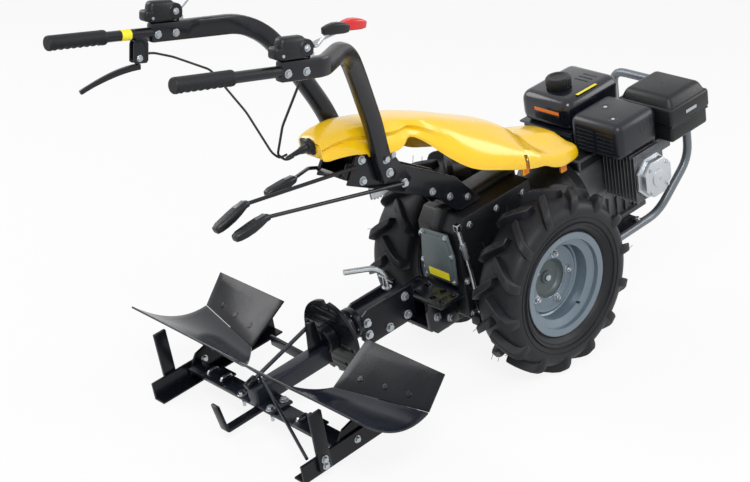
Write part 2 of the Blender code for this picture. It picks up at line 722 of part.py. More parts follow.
def landside_bottom():
    """The landside's lowest edge in the level frame, so that its heel stands on the floor."""
    drop = -TYRE_RADIUS - LANDSIDE_REAR * math.sin(PARKED_PITCH)
    return drop / math.cos(PARKED_PITCH)


def make_drawbar(shop):
    """The part of the plough that the hitch pin holds: drawbar, pin and swivel disc."""
    front = GEARBOX_REAR - 2 * GAP - JAW_LENGTH
    rear = -0.4925
    drawbar = shop.box("drawbar", "plough_paint", (front - rear, 0.070, 0.098),
                       ((front + rear) / 2, PLOUGH_Y, 0.027))
    shop.tube("hitch_pin", "zinc", [(-0.360, PLOUGH_Y, 0.0765), (-0.360, PLOUGH_Y, 0.125),
              (-0.385, PLOUGH_Y + 0.010, 0.150), (-0.460, PLOUGH_Y + 0.040, 0.165)], 0.008,
              smooth=True)
    half = SWIVEL_THICK / 2
    neck = [(0.0, -0.490), (0.030, -0.490), (0.030, SWIVEL_X + half + GAP),
            (0.0, SWIVEL_X + half + GAP)]
    place = (0.0, PLOUGH_Y, SWIVEL_Z)
    shop.weld(drawbar, shop.turned("swivel_neck", "plough_paint", neck, place, "X", 24))
    disc = [(0.0, SWIVEL_X + half), (SWIVEL_RADIUS, SWIVEL_X + half),
            (SWIVEL_RADIUS, SWIVEL_X - half), (0.0, SWIVEL_X - half)]
    shop.turned("swivel_disc", "plough_paint", disc, place, "X", 36)


def make_turnover(shop):
    """The part that turns over: beam, cross bar and two handed bodies."""
    front = SWIVEL_X - SWIVEL_THICK / 2 - SEAT
    collar = [(0.0, front), (0.036, front), (0.036, front - 0.030), (0.0, front - 0.030)]
    collar = shop.turned("swivel_collar", "plough_paint", collar, (0.0, PLOUGH_Y, SWIVEL_Z), "X", 24)
    beam_front = front - 0.020
    beam_top = 0.035
    beam_height = 0.050
    beam = shop.box("plough_beam", "plough_steel", (beam_front - BEAM_REAR, BEAM_SIZE, beam_height),
                    ((beam_front + BEAM_REAR) / 2, PLOUGH_Y, beam_top - beam_height / 2))
    cross_top = beam_top - beam_height + 0.001
    low = landside_bottom()
    foot_top = low + 0.006
    cross_half = BODY_REACH - LANDSIDE_THICK - 0.008 - 2 * GAP
    cross = shop.box("cross_bar", "plough_steel", (CROSS_WIDTH, 2 * cross_half, CROSS_HEIGHT),
                     (CROSS_X, PLOUGH_Y, cross_top - CROSS_HEIGHT / 2))
    shop.weld(beam, collar, cross)
    # front top edge, crease and rear edge of a body, in the middle plane
    lip, crease, heel = (-0.574, 0.100), (-0.640, 0.030), (-0.842, 0.125)
    belly_height = 0.045
    inner, outer = SHARE_INNER, SHARE_OUTER
    thick = 0.005

    def crease_x(y):
        return crease[0] - CREASE_SKEW * (outer - y) / (outer - inner)

    for label, side in SIDES:
        def place(x, y, z):
            return (x, PLOUGH_Y + side * y, z)
        # share plate: lip to the skewed crease
        columns = 8
        places = [inner + (outer - inner) * column / columns for column in range(columns + 1)]
        order = places if side > 0 else places[::-1]
        strips = 4
        rows = []
        for strip in range(strips + 1):
            share = strip / strips
            rows.append([place(lip[0] + (crease_x(y) - lip[0]) * share, y,
                               lip[1] + (crease[1] - lip[1]) * share) for y in order])
        shop.shell(f"share_{label}", "plough_paint", rows, thick)
        # mouldboard: crease to heel, widening towards the middle line at the heel
        steps = 6
        rows = []
        for step in range(steps + 1):
            share = step / steps
            sag = 4 * share * (1 - share)
            z = crease[1] + (heel[1] - crease[1]) * share
            z -= sag * ((crease[1] + heel[1]) / 2 - belly_height)
            near = inner + (0.004 - inner) * share
            far = outer + HEEL_FLARE * share
            row = []
            for column, y in enumerate(places):
                across = column / columns
                start = crease_x(y)
                x = start + (heel[0] - start) * share - SEAT
                row.append(place(x, near + (far - near) * across, z))
            rows.append(row if side > 0 else row[::-1])
        shop.shell(f"mouldboard_{label}", "plough_steel", rows, thick)
        # landside: an angle bar, its foot inwards
        out = BODY_REACH
        height = LANDSIDE_HEIGHT
        angle = [(out, low), (out, low + height), (out - LANDSIDE_THICK, low + height),
                 (out - LANDSIDE_THICK, foot_top), (out - 0.040, foot_top), (out - 0.040, low)]
        angle = [(PLOUGH_Y + side * u, v) for u, v in angle]
        landside = shop.plate(f"landside_{label}", "plough_paint", angle, LANDSIDE_LENGTH,
                              (LANDSIDE_REAR + LANDSIDE_LENGTH / 2, 0.0, 0.0), plane="YZ")
        # frog: upright plate inside the landside, up to the share and mouldboard
        bend = crease_x(out - LANDSIDE_THICK - GAP)
        run, rise = lip[0] - bend, lip[1] - crease[1]
        slant = math.hypot(run, rise) / run

        def under_share(x):
            return lip[1] - (lip[0] - x) * rise / run - (thick + SEAT) * slant

        seat = crease[1] - thick - 0.0045
        frog = [(-0.575, low + 0.012), (-0.590, under_share(-0.590)),
                (bend + 0.006, under_share(bend + 0.006)), (bend + 0.002, seat), (-0.750, seat),
                (-0.790, 0.010), (-0.820, low + 0.030), (-0.820, low + 0.012)]
        frog_y = PLOUGH_Y + side * (out - LANDSIDE_THICK - GAP - 0.004)
        shop.plate(f"frog_{label}", "plough_paint", frog, 0.008, (0.0, frog_y, 0.0))
        post_x = -0.868
        post_top = 0.112
        post = shop.box(f"heel_post_{label}", "plough_paint", (0.036, 0.010, post_top - low - 0.010),
                        (post_x, PLOUGH_Y + side * (out + 0.004), (post_top + low + 0.010) / 2))
        shop.weld(landside, post)


# ---------------------------------------------------------------- build

def clear_scene():
    """Remove whatever objects the file opens with."""
    for obj in list(bpy.data.objects):
        bpy.data.objects.remove(obj)


def centre_on_floor(axle):
    """Move the whole model so that its box stands on the origin, centred in X and Y."""
    bpy.context.view_layer.update()
    graph = bpy.context.evaluated_depsgraph_get()
    corners = []
    for obj in MODEL.objects:
        if obj.type != "EMPTY":
            shape = obj.evaluated_get(graph)
            mesh = shape.to_mesh()
            corners += [shape.matrix_world @ vertex.co for vertex in mesh.vertices]
            shape.to_mesh_clear()
    for axis in (0, 1):
        values = [corner[axis] for corner in corners]
        axle.location[axis] -= (min(values) + max(values)) / 2
    axle.location.z -= min(corner.z for corner in corners)
    bpy.context.view_layer.update()


def main():
    """Build the model on a level frame, tip it to its parked pitch and set it on the floor."""
    clear_scene()
    for collection in (MODEL, GUIDES):
        bpy.context.scene.collection.children.link(collection)
    axle = bpy.data.objects.new("axle", None)
    MODEL.objects.link(axle)
    axle.rotation_euler = (0.0, -PARKED_PITCH, 0.0)
    axle.location = (0.0, 0.0, TYRE_RADIUS)
    shop = Shop(axle, materials())
    make_wheels(shop)
    make_driveline(shop)
    make_engine(shop)
    make_guard(shop)
    make_hood(shop)
    make_column(shop)
    make_handlebars(shop)
    make_shifters(shop)
    make_cables(shop)
    make_drawbar(shop)
    make_turnover(shop)
    centre_on_floor(axle)


main()
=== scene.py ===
"""Looks of a two-wheel walking tractor with a two-way plough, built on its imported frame.

Metres.  Shapes are made in the machine's level frame, whose origin is the middle of the wheel
axle (+X towards the engine, +Y to the operator's left, +Z up), and are then tipped with it.
"""

from __future__ import annotations

import json
import logging
import math
from dataclasses import dataclass, field
from enum import Enum
from typing import Iterable, Sequence

import bmesh
import bpy
from mathutils import Matrix, Vector

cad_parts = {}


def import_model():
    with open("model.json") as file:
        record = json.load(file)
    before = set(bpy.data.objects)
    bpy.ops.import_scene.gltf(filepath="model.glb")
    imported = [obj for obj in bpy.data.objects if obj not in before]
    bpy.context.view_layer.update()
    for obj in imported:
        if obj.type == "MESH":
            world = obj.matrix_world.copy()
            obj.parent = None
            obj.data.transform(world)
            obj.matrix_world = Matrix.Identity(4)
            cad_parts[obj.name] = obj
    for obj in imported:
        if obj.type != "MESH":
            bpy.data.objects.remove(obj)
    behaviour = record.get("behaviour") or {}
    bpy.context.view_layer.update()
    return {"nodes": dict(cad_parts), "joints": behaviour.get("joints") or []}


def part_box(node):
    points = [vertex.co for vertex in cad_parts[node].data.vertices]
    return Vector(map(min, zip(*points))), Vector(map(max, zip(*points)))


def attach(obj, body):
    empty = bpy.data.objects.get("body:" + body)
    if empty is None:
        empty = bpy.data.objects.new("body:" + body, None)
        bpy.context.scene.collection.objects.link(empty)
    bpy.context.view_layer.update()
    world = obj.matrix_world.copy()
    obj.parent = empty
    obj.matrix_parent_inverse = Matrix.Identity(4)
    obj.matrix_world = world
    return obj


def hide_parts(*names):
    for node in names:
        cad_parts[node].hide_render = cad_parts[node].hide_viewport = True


LOG = logging.getLogger("walking_tractor")
Point = Sequence[float]
Colour = tuple[float, float, float]

ROUND = 32                    # sides of a round piece in plain view
SMOOTH_ANGLE = math.radians(32.0)
CLEAR = 0.0006                # left between a detail and the piece under it


class Axis(Enum):
    """The way that a turned piece or a prism points."""

    X = Vector((1.0, 0.0, 0.0))
    Y = Vector((0.0, 1.0, 0.0))
    Z = Vector((0.0, 0.0, 1.0))


class Body(Enum):
    """The bodies of the frame that pieces ride on."""

    TRACTOR = "tractor"
    LEFT_WHEEL = "wheel_left"
    RIGHT_WHEEL = "wheel_right"
    PLOUGH = "plough"


# ------------------------------------------------------------------ finishes

def new_group(name: str, inputs: Sequence[tuple[str, str, float]],
              outputs: Sequence[tuple[str, str]]) -> bpy.types.NodeTree:
    """Make an empty shader node group with its sockets.

    Args:
        name: the group's name.
        inputs: name, socket type and default of each input.
        outputs: name and socket type of each output.

    Returns:
        The group, with its input and output nodes in place.
    """
    group = bpy.data.node_groups.new(name, "ShaderNodeTree")
    for label, kind, value in inputs:
        socket = group.interface.new_socket(label, in_out="INPUT", socket_type=kind)
        if kind == "NodeSocketFloat":
            socket.default_value = value
    for label, kind in outputs:
        group.interface.new_socket(label, in_out="OUTPUT", socket_type=kind)
    group.nodes.new("NodeGroupInput").name = "in"
    group.nodes.new("NodeGroupOutput").name = "out"
    return group


def surface_group() -> bpy.types.NodeTree:
    """Build the shared weathering: soft patches, fine specks and a grain height.

    Returns:
        The node group, with inputs Vector, Patch Scale and Grain Scale.
    """
    group = new_group(
        "weathering",
        (("Vector", "NodeSocketVector", 0.0), ("Patch Scale", "NodeSocketFloat", 6.0),
         ("Grain Scale", "NodeSocketFloat", 300.0)),
        (("Patches", "NodeSocketFloat"), ("Specks", "NodeSocketFloat"),
         ("Height", "NodeSocketFloat")))
    nodes, links = group.nodes, group.links
    source, sink = nodes["in"], nodes["out"]
    patches = nodes.new("ShaderNodeTexNoise")
    patches.inputs["Detail"].default_value = 6.0
    patches.inputs["Roughness"].default_value = 0.62
    spread = nodes.new("ShaderNodeMapRange")
    spread.inputs["From Min"].default_value = 0.35
    spread.inputs["From Max"].default_value = 0.70
    specks = nodes.new("ShaderNodeTexNoise")
    specks.inputs["Detail"].default_value = 3.0
    pick = nodes.new("ShaderNodeMapRange")
    pick.inputs["From Min"].default_value = 0.60
    pick.inputs["From Max"].default_value = 0.75
    grain = nodes.new("ShaderNodeTexNoise")
    grain.inputs["Detail"].default_value = 2.0
    finer = nodes.new("ShaderNodeMath")
    finer.operation = "MULTIPLY"
    finer.inputs[1].default_value = 0.3
    for texture in (patches, specks, grain):
        links.new(source.outputs["Vector"], texture.inputs["Vector"])
    links.new(source.outputs["Patch Scale"], patches.inputs["Scale"])
    links.new(source.outputs["Grain Scale"], finer.inputs[0])
    links.new(finer.outputs[0], specks.inputs["Scale"])
    links.new(source.outputs["Grain Scale"], grain.inputs["Scale"])
    links.new(patches.outputs["Fac"], spread.inputs["Value"])
    links.new(specks.outputs["Fac"], pick.inputs["Value"])
    links.new(spread.outputs["Result"], sink.inputs["Patches"])
    links.new(pick.outputs["Result"], sink.inputs["Specks"])
    links.new(grain.outputs["Fac"], sink.inputs["Height"])
    return group


@dataclass(frozen=True)
class Finish:
    """A surface: its colours, gloss, grain and dirt.

    Attributes:
        name: material name.
        slot: the record's material slot that it stands for; not used.
        colour: base colour, linear.
        shade: the colour of its soft patches.
        rough: lowest and highest roughness.
        metal: metallic value.
        coat: clear coat weight.
        grain: grain scale and bump strength.
        patch: scale of the patches and how much of the shade shows in them.
        dust: how much of the pale specks shows.
    """

    name: str
    slot: str
    colour: Colour
    shade: Colour
    rough: tuple[float, float]
    metal: float = 0.0
    specular: float = 0.5
    coat: float = 0.0
    grain: tuple[float, float] = (400.0, 0.1)
    patch: tuple[float, float] = (7.0, 0.5)
    dust: float = 0.0

    def build(self, group: bpy.types.NodeTree) -> bpy.types.Material:
        """Make the material.

        Args:
            group: the shared weathering group.

        Returns:
            The new material.
        """
        made = bpy.data.materials.new(self.name)
        made.use_nodes = True
        nodes, links = made.node_tree.nodes, made.node_tree.links
        shader = nodes["Principled BSDF"]
        shader.inputs["Metallic"].default_value = self.metal
        shader.inputs["Specular IOR Level"].default_value = self.specular
        shader.inputs["Coat Weight"].default_value = self.coat
        shader.inputs["Coat Roughness"].default_value = 0.08
        place = nodes.new("ShaderNodeTexCoord")
        wear = nodes.new("ShaderNodeGroup")
        wear.node_tree = group
        wear.inputs["Patch Scale"].default_value = self.patch[0]
        wear.inputs["Grain Scale"].default_value = self.grain[0]
        links.new(place.outputs["Object"], wear.inputs["Vector"])
        strength = nodes.new("ShaderNodeMath")
        strength.operation = "MULTIPLY"
        strength.inputs[1].default_value = self.patch[1]
        links.new(wear.outputs["Patches"], strength.inputs[0])
        blend = nodes.new("ShaderNodeMix")
        blend.data_type = "RGBA"
        blend.inputs["A"].default_value = (*self.colour, 1.0)
        blend.inputs["B"].default_value = (*self.shade, 1.0)
        links.new(strength.outputs[0], blend.inputs["Factor"])
        dusty = nodes.new("ShaderNodeMath")
        dusty.operation = "MULTIPLY"
        dusty.inputs[1].default_value = self.dust
        links.new(wear.outputs["Specks"], dusty.inputs[0])
        top = nodes.new("ShaderNodeMix")
        top.data_type = "RGBA"
        top.inputs["B"].default_value = (0.30, 0.28, 0.25, 1.0)
        links.new(dusty.outputs[0], top.inputs["Factor"])
        links.new(blend.outputs["Result"], top.inputs["A"])
        links.new(top.outputs["Result"], shader.inputs["Base Color"])
        gloss = nodes.new("ShaderNodeMapRange")
        gloss.inputs["To Min"].default_value = self.rough[0]
        gloss.inputs["To Max"].default_value = self.rough[1]
        links.new(wear.outputs["Patches"], gloss.inputs["Value"])
        links.new(gloss.outputs["Result"], shader.inputs["Roughness"])
        bump = nodes.new("ShaderNodeBump")
        bump.inputs["Strength"].default_value = self.grain[1]
        bump.inputs["Distance"].default_value = 0.001
        links.new(wear.outputs["Height"], bump.inputs["Height"])
        links.new(bump.outputs["Normal"], shader.inputs["Normal"])
        return made


YELLOW = Finish("hood_yellow", "yellow_plastic", (0.92, 0.575, 0.004), (0.90, 0.535, 0.003),
                (0.20, 0.32), coat=0.5, grain=(120.0, 0.05), patch=(4.0, 0.4), dust=0.01)
ORANGE = Finish("sticker_orange", "yellow_plastic", (0.85, 0.20, 0.01), (0.80, 0.17, 0.01),
                (0.35, 0.45))
LEMON = Finish("sticker_yellow", "yellow_plastic", (0.85, 0.74, 0.02), (0.80, 0.68, 0.02),
               (0.35, 0.45))
RED = Finish("lever_red", "red_plastic", (0.62, 0.006, 0.008), (0.50, 0.005, 0.006),
             (0.24, 0.36), coat=0.3, grain=(200.0, 0.06))
PAINT = Finish("black_paint", "black_paint", (0.0045, 0.005, 0.008), (0.008, 0.009, 0.014),
               (0.22, 0.36), specular=0.32, coat=0.12, grain=(160.0, 0.10), dust=0.015)
TANK = Finish("tank_paint", "tank_shell", (0.005, 0.006, 0.011), (0.008, 0.010, 0.016),
              (0.18, 0.30), specular=0.40, coat=0.25, grain=(140.0, 0.08), dust=0.01)
HEAT = Finish("shield_paint", "black_paint", (0.006, 0.007, 0.012), (0.010, 0.012, 0.018),
              (0.28, 0.42), specular=0.36, coat=0.1, grain=(500.0, 0.15), dust=0.015)
CAST_BLACK = Finish("black_casting", "black_casting", (0.005, 0.0055, 0.007), (0.010, 0.011, 0.013),
                    (0.34, 0.55), specular=0.30, grain=(260.0, 0.35), dust=0.03)
PLASTIC = Finish("black_plastic", "black_plastic", (0.005, 0.0055, 0.007), (0.008, 0.009, 0.011),
                 (0.32, 0.46), specular=0.34, grain=(900.0, 0.30), dust=0.015)
GRIP = Finish("grip_rubber", "black_plastic", (0.005, 0.0055, 0.007), (0.009, 0.010, 0.012),
              (0.46, 0.62), specular=0.30, grain=(1100.0, 0.35), dust=0.02)
TYRE = Finish("tyre_rubber", "tyre_rubber", (0.0055, 0.006, 0.0085), (0.010, 0.011, 0.015),
              (0.42, 0.62), specular=0.32, grain=(260.0, 0.30), patch=(9.0, 0.7), dust=0.03)
RIM = Finish("rim_paint", "rim_paint", (0.155, 0.200, 0.240), (0.120, 0.160, 0.200),
             (0.26, 0.40), metal=0.35, coat=0.3, grain=(220.0, 0.10), dust=0.03)
HUB_GREY = Finish("hub_paint", "casting", (0.110, 0.135, 0.140), (0.080, 0.100, 0.105),
                  (0.40, 0.58), metal=0.2, grain=(260.0, 0.30), dust=0.05)
ZINC = Finish("zinc_plate", "zinc", (0.50, 0.53, 0.56), (0.36, 0.39, 0.41), (0.26, 0.44),
              metal=1.0, grain=(300.0, 0.12), patch=(40.0, 0.6))
CASTING = Finish("grey_casting", "casting", (0.075, 0.080, 0.086), (0.045, 0.048, 0.054),
                 (0.42, 0.62), metal=0.4, grain=(260.0, 0.40), dust=0.05)
ALLOY = Finish("engine_alloy", "aluminium", (0.115, 0.120, 0.130), (0.070, 0.074, 0.082),
               (0.38, 0.56), metal=0.6, grain=(320.0, 0.35), patch=(20.0, 0.6))
POLISHED = Finish("cover_alloy", "aluminium", (0.56, 0.59, 0.62), (0.44, 0.47, 0.50),
                  (0.28, 0.42), metal=0.85, grain=(300.0, 0.10), patch=(25.0, 0.5))
# The guard's grey-blue paint; the shift knobs also use it for a painted highlight along their tops.
GUARD_AND_HIGHLIGHT = Finish("guard_paint", "guard_paint", (0.15, 0.17, 0.19), (0.11, 0.125, 0.14),
               (0.30, 0.44), metal=0.4, coat=0.2, grain=(200.0, 0.12), dust=0.03)
STEEL_BLUE = Finish("plough_steel", "plough_steel", (0.0075, 0.009, 0.015), (0.018, 0.023, 0.036),
                    (0.20, 0.34), specular=0.30, coat=0.06, grain=(120.0, 0.10), patch=(5.0, 0.7),
                    dust=0.015)
PLOUGH_BLACK = Finish("plough_paint", "plough_paint", (0.0045, 0.005, 0.008), (0.009, 0.010, 0.015),
                      (0.20, 0.36), specular=0.22, coat=0.03, grain=(150.0, 0.12), dust=0.01)


# ------------------------------------------------------------------ mesh tools

def ring(radius: float, sides: int, u: float = 0.0, v: float = 0.0,
         start: float = 0.0) -> list[tuple[float, float]]:
    """Points round a circle in a plane."""
    turns = [start + 2.0 * math.pi * step / sides for step in range(sides)]
    return [(u + radius * math.cos(a), v + radius * math.sin(a)) for a in turns]


def eased(points: Iterable[Point], reach: float, bends: int = 5) -> list[Vector]:
    """Turn each inner corner of a route into a short curve.

    Args:
        points: the route's corners.
        reach: how far from its corner a curve starts.
        bends: pieces in each curve.

    Returns:
        The new route.
    """
    places = [Vector(point) for point in points]
    route = [places[0]]
    for before, corner, after in zip(places, places[1:], places[2:]):
        cut = min(reach, (corner - before).length / 2.1, (after - corner).length / 2.1)
        start = corner + (before - corner).normalized() * cut
        end = corner + (after - corner).normalized() * cut
        for step in range(bends + 1):
            share = step / bends
            route.append(start.lerp(corner, share).lerp(corner.lerp(end, share), share))
    route.append(places[-1])
    return route


@dataclass
class Piece:
    """One piece of the machine while its mesh is made, in the level frame.

    Attributes:
        name: the piece's name.
        finishes: its finishes; a shape names one by its place in this list.
    """

    name: str
    finishes: Sequence[Finish]
    work: bmesh.types.BMesh = field(default_factory=bmesh.new)

    def seal(self, verts: Iterable[bmesh.types.BMVert], bevel: float, segments: int,
                finish: int) -> None:
        """Set the finish of the faces on some corners and bevel their sharp edges.

        Args:
            verts: the corners.
            bevel: the bevel's width, 0 for none.
            segments: the bevel's segments.
            finish: the finish's slot.
        """
        corners = list(verts)
        faces = {face for vert in corners for face in vert.link_faces}
        bmesh.ops.recalc_face_normals(self.work, faces=list(faces))
        for face in faces:
            face.material_index = finish
        if bevel:
            edges = {edge for vert in corners for edge in vert.link_edges
                     if edge.is_manifold and edge.calc_face_angle(0.0) > 0.45}
            bmesh.ops.bevel(self.work, geom=list(edges), offset=bevel, segments=segments,
                            profile=0.5, affect="EDGES", clamp_overlap=True)

    def block(self, low: Point, high: Point, bevel: float = 0.002, segments: int = 2,
              finish: int = 0, lean: float = 0.0, top: Point = (1.0, 1.0)) -> None:
        """Add a box between two corners.

        Args:
            low: lowest corner.
            high: highest corner.
            bevel: width of its rounded edges.
            segments: pieces across each rounded edge.
            finish: which finish it has.
            lean: turn about its own Y axis.
            top: its top's size as a share of its foot's, in X and Y.
        """
        low, high = Vector(low), Vector(high)
        made = bmesh.ops.create_cube(self.work, size=1.0)["verts"]
        for vert in made:
            if vert.co.z > 0.0:
                vert.co.x *= top[0]
                vert.co.y *= top[1]
        bmesh.ops.scale(self.work, vec=high - low, verts=made)
        if lean:
            bmesh.ops.rotate(self.work, cent=(0, 0, 0), matrix=Matrix.Rotation(lean, 3, "Y"),
                             verts=made)
        bmesh.ops.translate(self.work, vec=(low + high) / 2.0, verts=made)
        self.seal(made, bevel, segments, finish)

    def turned(self, profile: Sequence[Point], centre: Point, axis: Vector, sides: int = ROUND,
               finish: int = 0, closed: bool = False) -> None:
        """Add a profile turned about an axis.

        Args:
            profile: (radius, along) points.
            centre: the axis's origin.
            axis: the way it points.
            sides: flats round it.
            finish: which finish it has.
            closed: join the last point to the first, for a ring.
        """
        turn = Vector((0.0, 0.0, 1.0)).rotation_difference(Vector(axis)).to_matrix()
        rows = []
        for radius, along in profile:
            if radius < 1e-6:
                rows.append([self.work.verts.new(turn @ Vector((0, 0, along)) + Vector(centre))])
                continue
            rows.append([self.work.verts.new(turn @ Vector((x, y, along)) + Vector(centre))
                         for x, y in ring(radius, sides)])
        pairs = list(zip(rows, rows[1:]))
        if closed:
            pairs.append((rows[-1], rows[0]))
        for first, second in pairs:
            for step in range(sides):
                after = (step + 1) % sides
                corners = [first[step % len(first)], first[after % len(first)],
                           second[after % len(second)], second[step % len(second)]]
                unique = list(dict.fromkeys(corners))
                if len(unique) > 2:
                    self.work.faces.new(unique)
        self.seal([vert for row in rows for vert in row], 0.0, 1, finish)

    def sweep(self, route: Sequence[Vector], section: Sequence[Point], finish: int = 0,
              bevel: float = 0.0, upright: bool = True,
              sizes: Sequence[float] | None = None) -> None:
        """Add a section swept along a route.

        Args:
            route: the route's points.
            section: (across, down) corners of the section.
            finish: which finish it has.
            bevel: width of the rounded long edges.
            upright: keep the section's width square to the machine's side.
            sizes: the section's scale at each point.
        """
        across = Vector((0.0, 1.0, 0.0))
        rows = []
        for index, place in enumerate(route):
            before = route[max(index - 1, 0)]
            after = route[min(index + 1, len(route) - 1)]
            tangent = (after - before).normalized()
            if not upright and abs(tangent.dot(across)) > 0.95:
                across = tangent.orthogonal()
            side = (across - tangent * tangent.dot(across)).normalized()
            if not upright:
                across = side
            down = tangent.cross(side)
            scale = sizes[index] if sizes else 1.0
            rows.append([self.work.verts.new(place + (side * u + down * v) * scale)
                         for u, v in section])
        count = len(section)
        for first, second in zip(rows, rows[1:]):
            for k in range(count):
                after = (k + 1) % count
                self.work.faces.new((first[k], first[after], second[after], second[k]))
        self.work.faces.new(rows[0])
        self.work.faces.new(rows[-1])
        self.seal([vert for row in rows for vert in row], bevel, 2, finish)

    def tube(self, points: Sequence[Point], radius: float, sides: int = 12, finish: int = 0,
             reach: float = 0.03) -> None:
        """Add a round bar along a route whose corners are eased."""
        self.sweep(eased(points, reach), ring(radius, sides), finish, upright=False)

    def bar(self, points: Sequence[Point], width: float, depth: float, finish: int = 0,
            reach: float = 0.02, bevel: float = 0.003,
            sizes: Sequence[float] | None = None) -> None:
        """Add a rectangular bar along a route whose corners are eased.

        Args:
            points: the corners in order.
            width: across the route.
            depth: square to the width.
            finish: the finish's slot.
            reach: how far a corner is eased.
            bevel: the bevel's width, 0 for none.
            sizes: a scale at each point, or none.
        """
        half, deep = width / 2.0, depth / 2.0
        section = ((-half, -deep), (half, -deep), (half, deep), (-half, deep))
        route = [Vector(point) for point in points] if sizes else eased(points, reach)
        self.sweep(route, section, finish, bevel, sizes=sizes)

    def prism(self, outline: Sequence[Point], low: float, high: float, axis: Axis,
              bevel: float = 0.001, finish: int = 0, centre: Point = (0.0, 0.0, 0.0),
              holes: Sequence[tuple[float, float, float]] = ()) -> None:
        """Add a flat outline given a thickness.

        Args:
            outline: its corners: (y, z) along X, (x, z) along Y or (x, y) along Z.
            low: where it starts along the axis.
            high: where it ends.
            axis: the way it is thick.
            bevel: width of its rounded edges.
            finish: which finish it has.
            centre: added to every corner.
            holes: (u, v, radius) of each hole.
        """
        curve = bpy.data.curves.new(self.name + "_outline", "CURVE")
        curve.dimensions = "2D"
        curve.fill_mode = "BOTH"
        curve.extrude = (high - low) / 2.0
        for loop in (outline, *[ring(radius, 18, u, v) for u, v, radius in holes]):
            spline = curve.splines.new("POLY")
            spline.points.add(len(loop) - 1)
            for point, (u, v) in zip(spline.points, loop):
                point.co = (u, v, 0.0, 1.0)
            spline.use_cyclic_u = True
        guide = bpy.data.objects.new(self.name + "_outline", curve)
        mesh = bpy.data.meshes.new_from_object(guide)
        turns = {
            Axis.X: Matrix(((0, 0, 1), (1, 0, 0), (0, 1, 0))),
            Axis.Y: Matrix(((1, 0, 0), (0, 0, 1), (0, 1, 0))),
            Axis.Z: Matrix.Identity(3),
        }
        mesh.transform(turns[axis].to_4x4())
        mesh.transform(Matrix.Translation(axis.value * (low + high) / 2.0 + Vector(centre)))
        before = set(self.work.verts)
        self.work.from_mesh(mesh)
        made = [vert for vert in self.work.verts if vert not in before]
        bmesh.ops.remove_doubles(self.work, verts=made, dist=0.00002)
        made = [vert for vert in self.work.verts if vert not in before]
        bpy.data.objects.remove(guide)
        bpy.data.curves.remove(curve)
        bpy.data.meshes.remove(mesh)
        self.seal(made, bevel, 2, finish)

    def sheet(self, rows: Sequence[Sequence[Point]], thick: float, finish: int = 0,
              bevel: float = 0.0) -> None:
        """Add a sheet through rows of points, thickened below its face.

        Args:
            rows: rows with equal numbers of points.
            thick: the sheet's thickness.
            finish: the finish's slot.
            bevel: the bevel's width, 0 for none.
        """
        grid = [[self.work.verts.new(point) for point in row] for row in rows]
        faces = []
        for row, after in zip(grid, grid[1:]):
            for k in range(len(row) - 1):
                faces.append(self.work.faces.new((row[k], row[k + 1], after[k + 1], after[k])))
        bmesh.ops.recalc_face_normals(self.work, faces=faces)
        if sum(face.normal.z for face in faces) < 0.0:
            bmesh.ops.reverse_faces(self.work, faces=faces)
        extruded = bmesh.ops.solidify(self.work, geom=faces, thickness=thick)["geom"]
        verts = {vert for row in grid for vert in row}
        verts |= {item for item in extruded if isinstance(item, bmesh.types.BMVert)}
        self.seal(verts, bevel, 2, finish)

    def bolt(self, place: Point, axis: Point, size: float = 0.008, finish: int = 0,
             washer: bool = True) -> None:
        """Add a hexagon head on its washer, standing on a face.

        Args:
            place: where it stands.
            axis: the face's outward way.
            size: the head's radius.
            finish: which finish it has.
            washer: whether it has one.
        """
        foot = 0.0
        if washer:
            foot = size * 0.22
            self.turned(((0.0, 0.0), (size * 1.35, 0.0), (size * 1.35, foot * 0.8),
                         (size * 1.28, foot), (0.0, foot)), place, Vector(axis), 18, finish)
        head = size * 0.75
        self.turned(((0.0, foot), (size, foot), (size, foot + head * 0.82),
                     (size * 0.88, foot + head), (0.0, foot + head)), place, Vector(axis), 6, finish)


